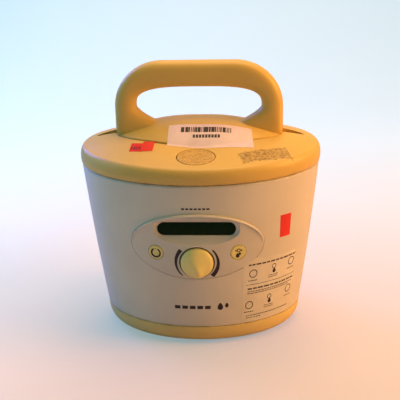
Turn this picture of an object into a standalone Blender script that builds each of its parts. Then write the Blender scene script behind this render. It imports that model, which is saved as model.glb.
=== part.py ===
"""Electric breast pump: the pump unit with its hinged lid, carrying handle, controls and drive.

The frame has +Z up, +X to the user's right and -Y towards the user. The origin is on the
surface that the pump stands on, under the middle of the housing. Sizes below are in
millimetres, and MM turns them into Blender's metres.
"""

import math

import bmesh
import bpy
from mathutils import Matrix, Vector

MM = 0.001
GAP = 0.3  # clearance between pieces that touch in the real product

# Driving sizes
LID_A, LID_B = 104.5, 79.5  # half width and half depth of the lid
LID_EDGE_Z = 150.4  # lower edge of the lid
LID_RIM_Z = 163.0  # height at which the lid's top surface meets its rolled edge
LID_CROWN = 13.0  # how far the lid's middle rises above that rim
BODY_TOP_Z, BODY_TOP_A, BODY_TOP_B = 150.0, 103.5, 78.5
BODY_LOW_Z, BODY_LOW_A, BODY_LOW_B = 18.2, 87.5, 66.5
BASE_A, BASE_B = 77.0, 56.5  # flat underside of the base
BASE_Z = 2.0  # height of that underside above the table
WALL = 2.6
HANDLE_TOP_Z = 236.5
HANDLE_HALF_WIDTH = 72.0
HANDLE_HALF_DEPTH = 12.5
SECTION_SPLIT = -4.0  # where the section's flat front turns into its rounded back
GRIP_HEIGHT, LEG_WIDTH = 21.8, 18.4
LOOP_STRAIGHT = 31.0  # half length of the grip's straight top
LOOP_MIDDLE_Z, LOOP_FLOOR_Z, LOOP_BOTTOM_Z = 197.0, 173.1, 165.0
SEAT_A, SEAT_B = 72.5, 37.0  # outline of the handle's foot plate in the lid
PLATE_Z = 163.0  # underside of that plate
SADDLE_Z = 186.6  # its height in the middle, between the handle's feet
PANEL_A, PANEL_B, PANEL_Z = 55.5, 30.0, 95.5  # control panel's outline and its centre
SCOOP_Z, SCOOP_B = 109.8, 12.6  # hollow round the display: its middle and half height
WINDOW_Z, WINDOW_Y = 110.1, -70.0  # middle and front face of the display window
KNOB_Z, KNOB_R = 81.2, 13.6
KEY_X, KEY_Z, KEY_R = 34.1, 89.2, 6.5
HINGE_Y, HINGE_Z, HINGE_R = 82.01, 148.6, 3.0
DECK_Z, DECK_T = 138.0, 3.0
WELL_X, WELL_R = 44.0, 20.0  # the two vacuum chambers
GUIDE_X = 35.0  # the rods that the yoke slides on
SEGMENTS = 56

# Drive train, in the X-Z plane
DRIVE_Y = 10.0  # middle plane of the rack and its pinion
MODULE = 1.0
PRESSURE = math.radians(25)
WHEEL_TEETH, PINION_TEETH, MOTOR_TEETH = 40, 14, 12
GEAR_X, GEAR_Z = 9.0, 84.0
MOTOR_ANGLE = math.radians(-60)

COLOURS = {
    "white_shell": ((0.72, 0.70, 0.64), 0.45, 0.0),
    "yellow_shell": ((0.80, 0.62, 0.26), 0.45, 0.0),
    "yellow_key": ((0.86, 0.66, 0.22), 0.35, 0.0),
    "window": ((0.01, 0.03, 0.02), 0.12, 0.0),
    "rubber": ((0.08, 0.08, 0.08), 0.8, 0.0),
    "silicone": ((0.75, 0.75, 0.72), 0.5, 0.0),
    "clear_cap": ((0.80, 0.82, 0.82), 0.25, 0.0),
    "steel": ((0.60, 0.60, 0.60), 0.3, 1.0),
    "acetal": ((0.85, 0.85, 0.82), 0.4, 0.0),
    "black_plastic": ((0.03, 0.03, 0.03), 0.4, 0.0),
    "circuit_board": ((0.02, 0.16, 0.07), 0.5, 0.0),
    "battery_wrap": ((0.10, 0.14, 0.28), 0.5, 0.0),
}


def clear_scene():
    for obj in list(bpy.data.objects):
        bpy.data.objects.remove(obj, do_unlink=True)


def material(name):
    """The named finish, made once."""
    if name in bpy.data.materials:
        return bpy.data.materials[name]
    colour, roughness, metallic = COLOURS[name]
    made = bpy.data.materials.new(name)
    made.use_nodes = True
    shader = made.node_tree.nodes["Principled BSDF"]
    shader.inputs["Base Color"].default_value = (*colour, 1.0)
    shader.inputs["Roughness"].default_value = roughness
    shader.inputs["Metallic"].default_value = metallic
    made.diffuse_color = (*colour, 1.0)
    return made


# ---------------------------------------------------------------- shape helpers


def ellipse(a, b, z, count=SEGMENTS, y=0.0):
    """A ring of points round an ellipse; z may be a height or a function of x and y."""
    ring = []
    for i in range(count):
        turn = 2 * math.pi * i / count
        px, py = a * math.cos(turn), y + b * math.sin(turn)
        ring.append((px, py, z(px, py) if callable(z) else z))
    return ring


def loft(rings, closed=False):
    """A mesh skinned over rings of equal count, capped at both ends or joined into a loop."""
    bm = bmesh.new()
    rows = [[bm.verts.new(Vector(p) * MM) for p in ring] for ring in rings]
    pairs = list(zip(rows, rows[1:]))
    if closed:
        pairs.append((rows[-1], rows[0]))
    else:
        bm.faces.new(rows[0])
        bm.faces.new(rows[-1])
    for low, high in pairs:
        for i, start in enumerate(low):
            j = (i + 1) % len(low)
            bm.faces.new((start, low[j], high[j], high[i]))
    bmesh.ops.recalc_face_normals(bm, faces=bm.faces)
    if bm.calc_volume(signed=True) < 0:
        bmesh.ops.reverse_faces(bm, faces=bm.faces)
    return bm


def turned(profile, count=24):
    """A closed solid turned about Z from (radius, height) points, the first and last on rings."""
    return loft([ellipse(r, r, z, count) for r, z in profile])


def ring_solid(profile, count=24):
    """A turned ring with a through hole, from a closed (radius, height) profile."""
    return loft([ellipse(r, r, z, count) for r, z in profile], closed=True)


def block(low, high):
    """A box from its lowest to its highest corner."""
    bm = bmesh.new()
    bmesh.ops.create_cube(bm, size=1.0)
    low, high = Vector(low) * MM, Vector(high) * MM
    size, middle = high - low, (low + high) / 2
    bmesh.ops.transform(bm, matrix=Matrix.Translation(middle) @ Matrix.Diagonal((*size, 1)), verts=bm.verts)
    return bm


def prism(outline, low, high):
    """A solid between two heights over an outline in X and Y."""
    return loft([[(x, y, z) for x, y in outline] for z in (low, high)])


def place(bm, matrix):
    """Moves a mesh by a matrix whose translation is in millimetres."""
    moved = matrix.copy()
    moved.translation = matrix.translation * MM
    bmesh.ops.transform(bm, matrix=moved, verts=bm.verts)
    return bm


def add(name, bm, finish, parent=None, origin=(0, 0, 0)):
    """A named object from a mesh in the frame's coordinates, with its origin moved to a point."""
    mesh = bpy.data.meshes.new(name)
    shift = Vector(origin) * MM
    bmesh.ops.translate(bm, vec=-shift, verts=bm.verts)
    bm.to_mesh(mesh)
    bm.free()
    mesh.shade_smooth()
    mesh.set_sharp_from_angle(angle=math.radians(35))
    obj = bpy.data.objects.new(name, mesh)
    bpy.context.scene.collection.objects.link(obj)
    obj.location = shift
    if finish:
        mesh.materials.append(material(finish))
    if parent:
        obj.parent = parent
        obj.location = shift - parent.location
    return obj


def cutter(name, bm):
    """A helper solid that is subtracted or added, and is no piece of the product."""
    obj = add(name, bm, None)
    obj.hide_render = True
    obj.display_type = "WIRE"
    return obj


def boolean(obj, bm, operation="DIFFERENCE"):
    """Adds a Boolean modifier with its own helper."""
    helper = cutter(f"helper_{obj.name}_{len(obj.modifiers)}", bm)
    if obj.parent:
        helper.parent = obj.parent
        helper.location = helper.location - obj.parent.location
    modifier = obj.modifiers.new("boolean", "BOOLEAN")
    modifier.object = helper
    modifier.operation = operation
    modifier.solver = "EXACT"
    return obj


def pivot(name, point):
    """An empty on a joint's axis, which the moving pieces are parented to."""
    empty = bpy.data.objects.new(name, None)
    bpy.context.scene.collection.objects.link(empty)
    empty.location = Vector(point) * MM
    return empty


ALONG_Y = Matrix.Rotation(math.radians(-90), 4, "X")  # turns local +Z to +Y
ALONG_X = Matrix.Rotation(math.radians(90), 4, "Y")  # turns local +Z to +X


# ---------------------------------------------------------------- surfaces


def body_axes(z):
    """Half width and half depth of the housing at a height."""
    t = (z - BODY_LOW_Z) / (BODY_TOP_Z - BODY_LOW_Z)
    bulge = 0.8 * 4 * t * (1 - t) if 0 < t < 1 else 0.0
    return (
        BODY_LOW_A + (BODY_TOP_A - BODY_LOW_A) * t + bulge,
        BODY_LOW_B + (BODY_TOP_B - BODY_LOW_B) * t + bulge,
    )


def front_y(x, z):
    """Y of the housing's front surface."""
    a, b = body_axes(z)
    return -b * math.sqrt(max(0.0, 1 - (x / a) ** 2))


def panel_proud(z):
    """How far the control panel stands out of the housing: most at its upper lip."""
    t = (z - PANEL_Z) / PANEL_B
    return 0.9 + 0.9 * max(0.0, t)


def front_frame(x, z):
    """Matrix in millimetres whose local +Z is the front's outward normal and +Y runs up it."""
    step = 0.5
    across = Vector((2 * step, front_y(x + step, z) - front_y(x - step, z), 0))
    upward = Vector((0, front_y(x, z + step) - front_y(x, z - step), 2 * step))
    normal = across.cross(upward).normalized()
    across.normalize()
    point = Vector((x, front_y(x, z), z)) + normal * panel_proud(z)
    matrix = Matrix.Identity(4)
    for column, axis in enumerate((across, normal.cross(across), normal)):
        for row in range(3):
            matrix[row][column] = axis[row]
    matrix.translation = point
    return matrix


def lid_z(x, y):
    """Height of the lid's outer top surface."""
    u, v = x / LID_A, y / LID_B
    rho = min(1.0, math.hypot(u, v))
    if rho < 1e-6:
        return LID_RIM_Z + LID_CROWN
    along = (u / rho) ** 2
    power = 0.95 + 3.05 * along
    return LID_RIM_Z + LID_CROWN * (1 - rho**power)


def between(inner, outer, t):
    return [
        (p[0] + (q[0] - p[0]) * t, p[1] + (q[1] - p[1]) * t) for p, q in zip(inner, outer)
    ]


def on_lid(points, drop):
    return [(x, y, lid_z(x, y) - drop) for x, y in points]


# ---------------------------------------------------------------- housing


def base_shell():
    """The shallow bottom tray with its rounded edge and a tongue that locates the housing."""
    outer = []
    for i in range(6):
        turn = math.radians(90 * i / 5)
        a = BASE_A + (BODY_LOW_A - BASE_A) * math.sin(turn) ** 0.8
        b = BASE_B + (BODY_LOW_B - BASE_B) * math.sin(turn) ** 0.8
        outer.append(ellipse(a, b, BASE_Z + (BODY_LOW_Z - BASE_Z - GAP) * (1 - math.cos(turn))))
    seam_z = BODY_LOW_Z - GAP
    low_a, low_b = BODY_LOW_A - WALL - GAP, BODY_LOW_B - WALL - GAP
    inner = [
        ellipse(low_a, low_b, seam_z),
        ellipse(low_a, low_b, seam_z + 4),
        ellipse(low_a - 1.6, low_b - 1.6, seam_z + 4),
        ellipse(low_a - 1.6, low_b - 1.6, seam_z - 3),
        ellipse(BASE_A - 1.0, BASE_B - 1.0, BASE_Z + WALL),
    ]
    return add("base_shell", loft(outer + inner), "yellow_shell")


def body_shell():
    """The tapering housing wall, open at both ends, with its front and rear openings."""
    heights = (BODY_LOW_Z, 58, 108, BODY_TOP_Z - 1.6)
    outer = [ellipse(*body_axes(z), z) for z in heights]
    a, b = body_axes(BODY_TOP_Z)
    rim = [
        ellipse(a - 0.5, b - 0.5, BODY_TOP_Z - 0.5),
        ellipse(a - 1.6, b - 1.6, BODY_TOP_Z),
        ellipse(a - WALL, b - WALL, BODY_TOP_Z),
    ]
    inner = []
    for z in (84, BODY_LOW_Z):
        a, b = body_axes(z)
        inner.append(ellipse(a - WALL, b - WALL, z))
    obj = add("body_shell", loft(outer + rim + inner, closed=True), "white_shell")
    opening = [(x, z) for x, z, _ in ellipse(PANEL_A + GAP, PANEL_B + GAP, 0, 48)]
    boolean(obj, loft([[(x, y, PANEL_Z + z) for x, z in opening] for y in (-120, -30)]))
    boolean(obj, block((-19, 40, 34.7), (-1, 120, 49.3)))
    boolean(obj, block((16.5, 40, 37.7), (50.5, 120, 42.3)))
    for x in (-17.5, 17.5):
        boolean(obj, block((x - 6, 76, HINGE_Z - 14), (x + 6, HINGE_Y + 1.2, HINGE_Z - 0.5)), "UNION")
        boolean(obj, hinge_barrel(x, 6), "UNION")
        boolean(obj, hinge_hole(x))
    return obj


def deck():
    """The tray under the lid, with an opening for each vacuum chamber."""
    a, b = body_axes(DECK_Z)
    a, b = a - WALL - GAP, b - WALL - GAP
    outline = [
        ellipse(a - 0.4, b - 0.4, DECK_Z),
        ellipse(a - 0.2, b - 0.2, DECK_Z + DECK_T),
    ]
    obj = add("top_deck", loft(outline), "white_shell")
    for side in (-1, 1):
        hole = turned([(WELL_R, DECK_Z - 5), (WELL_R, DECK_Z + DECK_T + 5)], 32)
        boolean(obj, place(hole, Matrix.Translation((side * WELL_X, 0, 0))))
    return obj


def lid(parent):
    """The hinged lid: a domed ring round the handle's foot plate, with a rolled edge."""
    seat = [(x, y) for x, y, _ in ellipse(SEAT_A, SEAT_B, 0)]
    rim = [(x, y) for x, y, _ in ellipse(LID_A - 4.5, LID_B - 4.5, 0)]
    inner_rim = [(x, y) for x, y, _ in ellipse(LID_A - 7, LID_B - 7, 0)]
    steps = (0, 0.33, 0.67, 1)
    top = [on_lid(between(seat, rim, t), 0) for t in steps]
    edge = [
        ellipse(LID_A - 2.0, LID_B - 2.0, LID_RIM_Z - 1.2),
        ellipse(LID_A - 0.4, LID_B - 0.4, LID_RIM_Z - 4.2),
        ellipse(LID_A, LID_B, LID_RIM_Z - 7.5),
        ellipse(LID_A - 0.4, LID_B - 0.4, LID_EDGE_Z + 1.0),
        ellipse(LID_A - 1.4, LID_B - 1.4, LID_EDGE_Z),
        ellipse(LID_A - WALL - 0.4, LID_B - WALL - 0.4, LID_EDGE_Z),
        ellipse(LID_A - WALL, LID_B - WALL, LID_RIM_Z - 7.5),
    ]
    under = [on_lid(between(seat, inner_rim, t), WALL) for t in reversed(steps)]
    obj = add("lid_shell", loft(top + edge + under, closed=True), "yellow_shell", parent)
    button = [(x, y) for x, y, _ in ellipse(16.2, 14.6, 0, 32, y=-54.6)]
    boolean(obj, prism(button, 140, 190))
    for side in (-1, 1):
        boolean(obj, prism(tube_slot(side), 140, 190))
        arm = block((side * 30 - 6, LID_B - 5, LID_EDGE_Z + 0.2), (side * 30 + 6, HINGE_Y + 0.5, LID_EDGE_Z + 4))
        boolean(obj, arm, "UNION")
        boolean(obj, hinge_barrel(side * 30, 6), "UNION")
        boolean(obj, hinge_hole(side * 30))
    return obj


def tube_slot(side):
    """Outline of the opening beside the handle's foot that a milk tube's air line leaves by."""
    points = []
    for i in range(24):
        turn = 2 * math.pi * i / 24
        half = 6.0 * (1.0 - 0.35 * math.cos(turn))
        points.append((side * (75.5 + 15.5 * math.cos(turn)), 4.5 + half * math.sin(turn)))
    return points if side > 0 else list(reversed(points))


def hinge_barrel(x, half):
    barrel = turned([(HINGE_R, -half), (HINGE_R, half)], 16)
    return place(barrel, Matrix.Translation((x, HINGE_Y, HINGE_Z)) @ ALONG_X)


def hinge_hole(x):
    hole = turned([(1.35, -20), (1.35, 20)], 16)
    return place(hole, Matrix.Translation((x, HINGE_Y, HINGE_Z)) @ ALONG_X)


def hinge_pins():
    """The two pins that the lid's barrels turn on, each held by the housing's knuckle beside it."""
    for side, word in ((-1, "left"), (1, "right")):
        pin = turned([(1.15, -12.4), (1.15, 12.4)], 12)
        centre = (side * 23.75, HINGE_Y, HINGE_Z)
        add(f"hinge_pin_{word}", place(pin, Matrix.Translation(centre) @ ALONG_X), "steel")


def handle(parent):
    """The carrying handle: a flat-faced loop with rounded edges rising from an oval foot plate."""
    seat = [(x, y) for x, y, _ in ellipse(SEAT_A - GAP, SEAT_B - GAP, 0, 40)]
    flange = [(x, y) for x, y, _ in ellipse(SEAT_A + 6, SEAT_B + 2.4, 0, 40)]
    centre = [(0.0, 0.0)] * len(seat)
    rings = [[(x, y, PLATE_Z) for x, y in flange]]
    rings.append(on_lid(flange, WALL + GAP))
    rings.append(on_lid(seat, WALL + GAP))
    for t in (1.0, 0.8, 0.61, 0.43, 0.24, 0.04):
        ring = []
        for x, y in seat:
            seam_z = lid_z(x, y)
            ring.append((t * x, t * y, seam_z + (SADDLE_Z - seam_z) * (1 - t**2.4)))
        rings.append(ring)
    obj = add("handle", loft(rings), "yellow_shell", parent)
    boolean(obj, loft(handle_sections(), closed=True), "UNION")
    for x in (-76.5, 76.5):
        boolean(obj, block((x - 3.5, -1.5, 155), (x + 3.5, 10.5, 175)))
    for x in (-60, 60):
        for y in (-12, 12):
            hole = turned([(1.7, 150), (1.7, 172)], 10)
            boolean(obj, place(hole, Matrix.Translation((x, y, 0))))
    return obj


def handle_outline(turn):
    """Outer and inner point of the handle loop, as (x, z), for a turn round it."""
    cos, sin = math.cos(turn), math.sin(turn)

    def corner(value, power):
        return math.copysign(abs(value) ** (2 / power), value)

    shoulder = HANDLE_TOP_Z - LOOP_MIDDLE_Z if sin > 0 else LOOP_MIDDLE_Z - LOOP_BOTTOM_Z
    if sin > 0:
        straight = math.copysign(LOOP_STRAIGHT * min(1.0, abs(cos) / 0.4), cos)
        bend = max(0.0, abs(cos) - 0.4) / 0.6
        across = math.copysign(bend, cos)
        outer = (
            straight + (HANDLE_HALF_WIDTH - LOOP_STRAIGHT) * across,
            LOOP_MIDDLE_Z + shoulder * math.sqrt(1 - bend**2),
        )
    else:
        outer = (
            HANDLE_HALF_WIDTH * corner(cos, 5.0),
            LOOP_MIDDLE_Z + shoulder * corner(sin, 8.0),
        )
    reach = HANDLE_TOP_Z - GRIP_HEIGHT - LOOP_MIDDLE_Z if sin > 0 else LOOP_MIDDLE_Z - LOOP_FLOOR_Z
    power = 3.2 if sin > 0 else 1.5
    inner = (
        (HANDLE_HALF_WIDTH - LEG_WIDTH) * corner(cos, power),
        LOOP_MIDDLE_Z + reach * corner(sin, power),
    )
    return outer, inner


def section_outline(half, upright, count=14):
    """Points (out, back) of the loop's section: flatter in front along the grip, and rounded behind."""
    points = []
    for i in range(count):
        turn = 2 * math.pi * (i + 0.5) / count
        cos, sin = math.cos(turn), math.sin(turn)
        power = 2.2 if sin > 0 else 2.3 + 0.7 * upright
        depth = HANDLE_HALF_DEPTH - math.copysign(1, sin) * SECTION_SPLIT
        u, v = (math.copysign(abs(value) ** (2 / power), value) for value in (cos, sin))
        points.append((half * u, SECTION_SPLIT + depth * v))
    return points


def handle_sections():
    """Sections round the handle loop."""
    sections = []
    stations = 44
    for i in range(stations):
        outer, inner = handle_outline(2 * math.pi * i / stations)
        centre = Vector(((outer[0] + inner[0]) / 2, 0, (outer[1] + inner[1]) / 2))
        out = Vector((outer[0] - inner[0], 0, outer[1] - inner[1]))
        half = out.length / 2
        out.normalize()
        outline = section_outline(half, abs(out.z))
        sections.append([centre + out * u + Vector((0, v, 0)) for u, v in outline])
    return sections


def handle_screws(parent):
    """Four screws that hold the handle's flange up to the lid."""
    number = 0
    for x in (-60, 60):
        for y in (-12, 12):
            number += 1
            under = PLATE_Z - GAP
            screw = turned([(3.0, under - 2.2), (3.0, under), (1.4, under), (1.4, under + 7)], 12)
            add(f"handle_screw_{number}", place(screw, Matrix.Translation((x, y, 0))), "steel", parent)


def release(parent):
    """The oval button that frees the lid, its spring, and the latch hook that it draws back."""
    outline = [(x, y) for x, y, _ in ellipse(15.8, 14.2, 0, 32, y=-54.6)]
    inner = between([(0.0, -54.6)] * len(outline), outline, 0.9)
    core = between([(0.0, -54.6)] * len(outline), outline, 0.3)
    rings = [
        [(x, y, 160.2) for x, y in core],
        [(x, y, lid_z(x, y) - 3.6) for x, y in outline],
        on_lid(outline, 0.6),
        on_lid(inner, -0.1),
        on_lid(core, -0.2),
    ]
    add("release_button", loft(rings), "yellow_shell", parent)
    hook = block((-9, -70.5, 147.2), (9, -67.5, 157.5))
    obj = add("latch_hook", hook, "acetal", parent)
    boolean(obj, block((-9, -73.1, 147.2), (9, -70.0, 149.0)), "UNION")
    boolean(obj, block((-9, -70, 154.5), (9, -48, 157.5)), "UNION")
    return obj


def lid_catch():
    """The gate on the deck that the latch hook reaches under."""
    top = DECK_Z + DECK_T
    obj = add("lid_catch", block((-10, -73.9, 149.3), (10, -71.5, 151.6)), "white_shell")
    for side in (-1, 1):
        x = side * 11
        boolean(obj, block((x - 2, -73.9, top + GAP), (x + 2, -70.5, 151.6)), "UNION")
    return obj


# ---------------------------------------------------------------- controls


def control_panel():
    """The raised oval panel that holds the display, the knob and the two keys."""
    count = 48

    def surface(x, z, depth):
        return (x, front_y(x, z) - panel_proud(z) + depth, z)

    def ring(scale, depth):
        points = []
        for i in range(count):
            turn = 2 * math.pi * i / count
            x = PANEL_A * scale * math.cos(turn)
            points.append(surface(x, PANEL_Z + PANEL_B * scale * math.sin(turn), depth))
        return points

    shares = (0.02, 0.35, 0.7, 0.96)
    rings = [ring(s, 0.0) for s in shares] + [ring(1.0, 0.7)]
    rings += [ring(1.0, 4.4)] + [ring(s, 4.4) for s in reversed(shares)]
    obj = add("control_panel", loft(rings), "white_shell")
    pocket = [(36.0 * u, SCOOP_B * v) for u, v in scoop_outline()]
    boolean(obj, loft([[(x, y, SCOOP_Z + z) for x, z in pocket] for y in (-120, -30)]))
    drill(obj, 0, KNOB_Z, 4.2)
    well = turned([(KNOB_R + 0.6, -1.8), (KNOB_R + 0.6, 8)], 32)
    boolean(obj, place(well, front_frame(0, KNOB_Z)))
    for side in (-1, 1):
        drill(obj, side * KEY_X, KEY_Z, KEY_R + GAP)
    return obj


def superellipse(upper, lower, count=40):
    """Unit points round an outline with its own power above and below the middle."""
    points = []
    for i in range(count):
        turn = 2 * math.pi * i / count
        power = upper if math.sin(turn) > 0 else lower
        points.append(
            tuple(math.copysign(abs(v) ** (2 / power), v) for v in (math.cos(turn), math.sin(turn)))
        )
    return points


def scoop_outline():
    """Unit outline of the hollow that the display sits in: flat above and bowed below."""
    return superellipse(3.4, 2.1)


def drill(obj, x, z, radius):
    hole = turned([(radius, -12), (radius, 8)], 24)
    boolean(obj, place(hole, front_frame(x, z)))


def display():
    """The scooped surround of the display, its dark window, and the display behind it."""
    mouth = scoop_outline()
    pill = superellipse(4.5, 4.5)
    rows = []
    for a, b, depth, points, mid in (
        (35.6, SCOOP_B - 0.6, -2.1, mouth, SCOOP_Z),
        (35.6, SCOOP_B - 0.6, 4.4, mouth, SCOOP_Z),
        (30.0, 5.0, 4.4, pill, WINDOW_Z),
        (30.0, 5.0, 1.7, pill, WINDOW_Z),
        (33.2, 6.4, 1.7, pill, WINDOW_Z),
        (34.6, SCOOP_B - 1.6, -2.1, mouth, SCOOP_Z),
    ):
        bend = 2.6 if depth < 0 else 0.0
        ring = [(a * u, WINDOW_Y + depth + bend * (abs(u) > 0.8), mid + b * v) for u, v in points]
        rows.append(ring)
    add("display_surround", loft(rows, closed=True), "white_shell")
    window = [[(32.6 * u, WINDOW_Y + t, WINDOW_Z + 5.9 * v) for u, v in pill] for t in (0, 1.4)]
    add("display_window", loft(window), "window")
    module = block((-38, WINDOW_Y + 4.8, WINDOW_Z - 8.8), (38, WINDOW_Y + 10.9, WINDOW_Z + 9.2))
    add("display_module", module, "black_plastic")


def keys():
    """The power key and the let-down key, each on its own short plunger."""
    for side, word in ((-1, "power"), (1, "phase")):
        frame = front_frame(side * KEY_X, KEY_Z)
        cap = turned([(2.0, -7.6), (2.0, -4.0), (KEY_R, -3.8), (KEY_R, -0.2), (KEY_R - 1.0, 0.4), (2.5, 0.8)])
        add(f"{word}_key", place(cap, frame), "yellow_key", origin=frame.translation)
        switch = block((-3.2, -3.2, -13.0), (3.2, 3.2, -9.2))
        add(f"{word}_switch", place(switch, frame), "black_plastic")


def knob():
    """The vacuum knob with its raised grip, the encoder's shaft and the encoder."""
    frame = front_frame(0, KNOB_Z)
    count = 32
    skirt = ((KNOB_R - 0.7, -1.3), (KNOB_R, -0.7), (KNOB_R, 2.6))
    rings = [ellipse(r, r, z, count) for r, z in skirt]
    for r, low in ((KNOB_R - 0.5, 3.4), (11.4, 4.2), (8.8, 4.7), (5.8, 4.9), (3.0, 5.0), (0.8, 5.0)):

        def ridge(x, y, low=low):
            away = x + 0.22 * y
            return low + 3.4 * math.exp(-((away / 3.6) ** 2)) * (1 - (y / 15.0) ** 2)

        rings.append(ellipse(r, r, ridge, count))
    obj = add("vacuum_knob", place(loft(rings), frame), "yellow_key", origin=frame.translation)
    shaft = turned([(2.9, -13.0), (2.9, 2.0)], 16)
    boolean(obj, place(shaft, frame), "UNION")
    encoder = ring_solid([(6.5, -15.0), (6.5, -6.6), (3.3, -6.6), (3.3, -15.0)], 16)
    add("knob_encoder", place(encoder, frame), "black_plastic")


# ---------------------------------------------------------------- drive


def gear_outline(teeth, phase, backlash=0.14):
    """Points of an involute gear with a tooth centred at the phase angle."""
    pitch = MODULE * teeth / 2
    base = pitch * math.cos(PRESSURE)
    tip, root = pitch + 0.8 * MODULE, pitch - 1.05 * MODULE
    half = (math.pi * MODULE / 2 - 2 * backlash) / (2 * pitch)
    spread = half + math.tan(PRESSURE) - PRESSURE

    def flank(radius):
        roll = math.acos(min(1.0, base / radius))
        return spread - (math.tan(roll) - roll)

    start = max(base, root)
    radii = [start + (tip - start) * k / 2 for k in range(3)]
    points = []
    for tooth in range(teeth):
        middle = phase + 2 * math.pi * tooth / teeth
        sides = [(r, flank(r)) for r in radii]
        if base > root:
            sides.insert(0, (root, flank(start) + 0.02))
        for r, angle in sides:
            points.append((r * math.cos(middle - angle), r * math.sin(middle - angle)))
        for r, angle in reversed(sides):
            points.append((r * math.cos(middle + angle), r * math.sin(middle + angle)))
    return points


def gear_layer(teeth, phase, centre, y_low, y_high):
    outline = gear_outline(teeth, phase)
    return loft([[(centre[0] + x, y, centre[1] + z) for x, z in outline] for y in (y_low, y_high)])


def rod_y(centre, radius, y_low, y_high, count=16):
    rod = turned([(radius, y_low), (radius, y_high)], count)
    return place(rod, Matrix.Translation((centre[0], 0, centre[1])) @ ALONG_Y)


def motor_centre():
    reach = MODULE * (WHEEL_TEETH + MOTOR_TEETH) / 2
    return GEAR_X + reach * math.cos(MOTOR_ANGLE), GEAR_Z + reach * math.sin(MOTOR_ANGLE)


def gear_train():
    """The motor, its pinion, and the double gear that drives the rack."""
    centre = (GEAR_X, GEAR_Z)
    wheel_pivot = pivot("gear_axis", (GEAR_X, 0, GEAR_Z))
    wheel = gear_layer(WHEEL_TEETH, MOTOR_ANGLE, centre, 16.0, 21.5)
    gear = add("drive_gear", wheel, "acetal", wheel_pivot)
    boolean(gear, gear_layer(PINION_TEETH, math.pi, centre, 6.0, 16.5), "UNION")
    boolean(gear, rod_y(centre, 2.7, 0, 30))
    add("gear_axle", rod_y(centre, 2.5, 3.0, 29.0), "steel")
    motor = motor_centre()
    motor_pivot = pivot("motor_axis", (motor[0], 0, motor[1]))
    half_tooth = math.pi / MOTOR_TEETH
    pinion = gear_layer(MOTOR_TEETH, MOTOR_ANGLE + math.pi + half_tooth, motor, 15.5, 22.0)
    obj = add("motor_pinion", pinion, "steel", motor_pivot)
    boolean(obj, rod_y(motor, 1.6, 21.0, 31.0, 12), "UNION")
    can = rod_y(motor, 17.0, 27.6, 57.0, 28)
    motor_can = add("motor", can, "steel")
    boolean(motor_can, rod_y(motor, 2.2, 20.0, 33.0))


def yoke():
    """The rack, its crossbar and the two push rods, which rise and fall as one piece."""
    slider = pivot("yoke_axis", (0, DRIVE_Y, 110))
    pitch_x = GEAR_X - MODULE * PINION_TEETH / 2
    tooth = math.pi * MODULE
    slope = math.tan(PRESSURE)
    half = tooth / 4 - 0.14
    tip, root = 0.8 * MODULE, -1.05 * MODULE
    profile = [(pitch_x - 7, 75.5)]
    first = GEAR_Z - 2.5 * tooth
    profile.append((pitch_x + root, 75.5))
    for k in range(8):
        middle = first + k * tooth
        for side in (-1, 1):
            reach = ((root, half - root * slope), (tip, half - tip * slope))
            for x, h in reach if side < 0 else reversed(reach):
                profile.append((pitch_x + x, middle + side * h))
    profile.append((pitch_x + root, 110.0))
    profile.append((pitch_x - 7, 110.0))
    rack = loft([[(x, y, z) for x, z in profile] for y in (6.5, 13.5)])
    obj = add("pump_yoke", rack, "acetal", slider)
    boolean(obj, block((-50, 4.5, 108), (50, 15.5, 115)), "UNION")
    for side in (-1, 1):
        boolean(obj, block((side * WELL_X - 5, -5, 108.5), (side * WELL_X + 5, 12, 114.5)), "UNION")
        rod = turned([(3.5, 112), (3.5, 131.5)], 16)
        boolean(obj, place(rod, Matrix.Translation((side * WELL_X, 0, 0))), "UNION")
        bore = turned([(2.75, 100), (2.75, 120)], 16)
        boolean(obj, place(bore, Matrix.Translation((side * GUIDE_X, DRIVE_Y, 0))))
    return obj


def drive_frame():
    """The upright plate that carries the motor, the axle and the two guide rods."""
    obj = add("drive_frame", block((-40, 23.0, 24), (44, 25.6, 131)), "black_plastic")
    boolean(obj, rod_y((GEAR_X, GEAR_Z), 2.8, 20, 30))
    boolean(obj, rod_y(motor_centre(), 4.0, 20, 30))
    boolean(obj, block((13, 20, 20), (60, 30, 45)))
    for side, word in ((-1, "left"), (1, "right")):
        x = side * GUIDE_X
        boolean(obj, block((x - 4, 4, 88.5), (x + 4, 24, 92)), "UNION")
        boolean(obj, block((x - 4, 4, 127), (x + 4, 24, 131)), "UNION")
        for low, high in ((86, 94), (125, 133)):
            bore = turned([(2.8, low), (2.8, high)], 16)
            boolean(obj, place(bore, Matrix.Translation((x, DRIVE_Y, 0))))
        rod = turned([(2.5, 87), (2.5, 132)], 16)
        add(f"guide_rod_{word}", place(rod, Matrix.Translation((x, DRIVE_Y, 0))), "steel")


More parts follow.
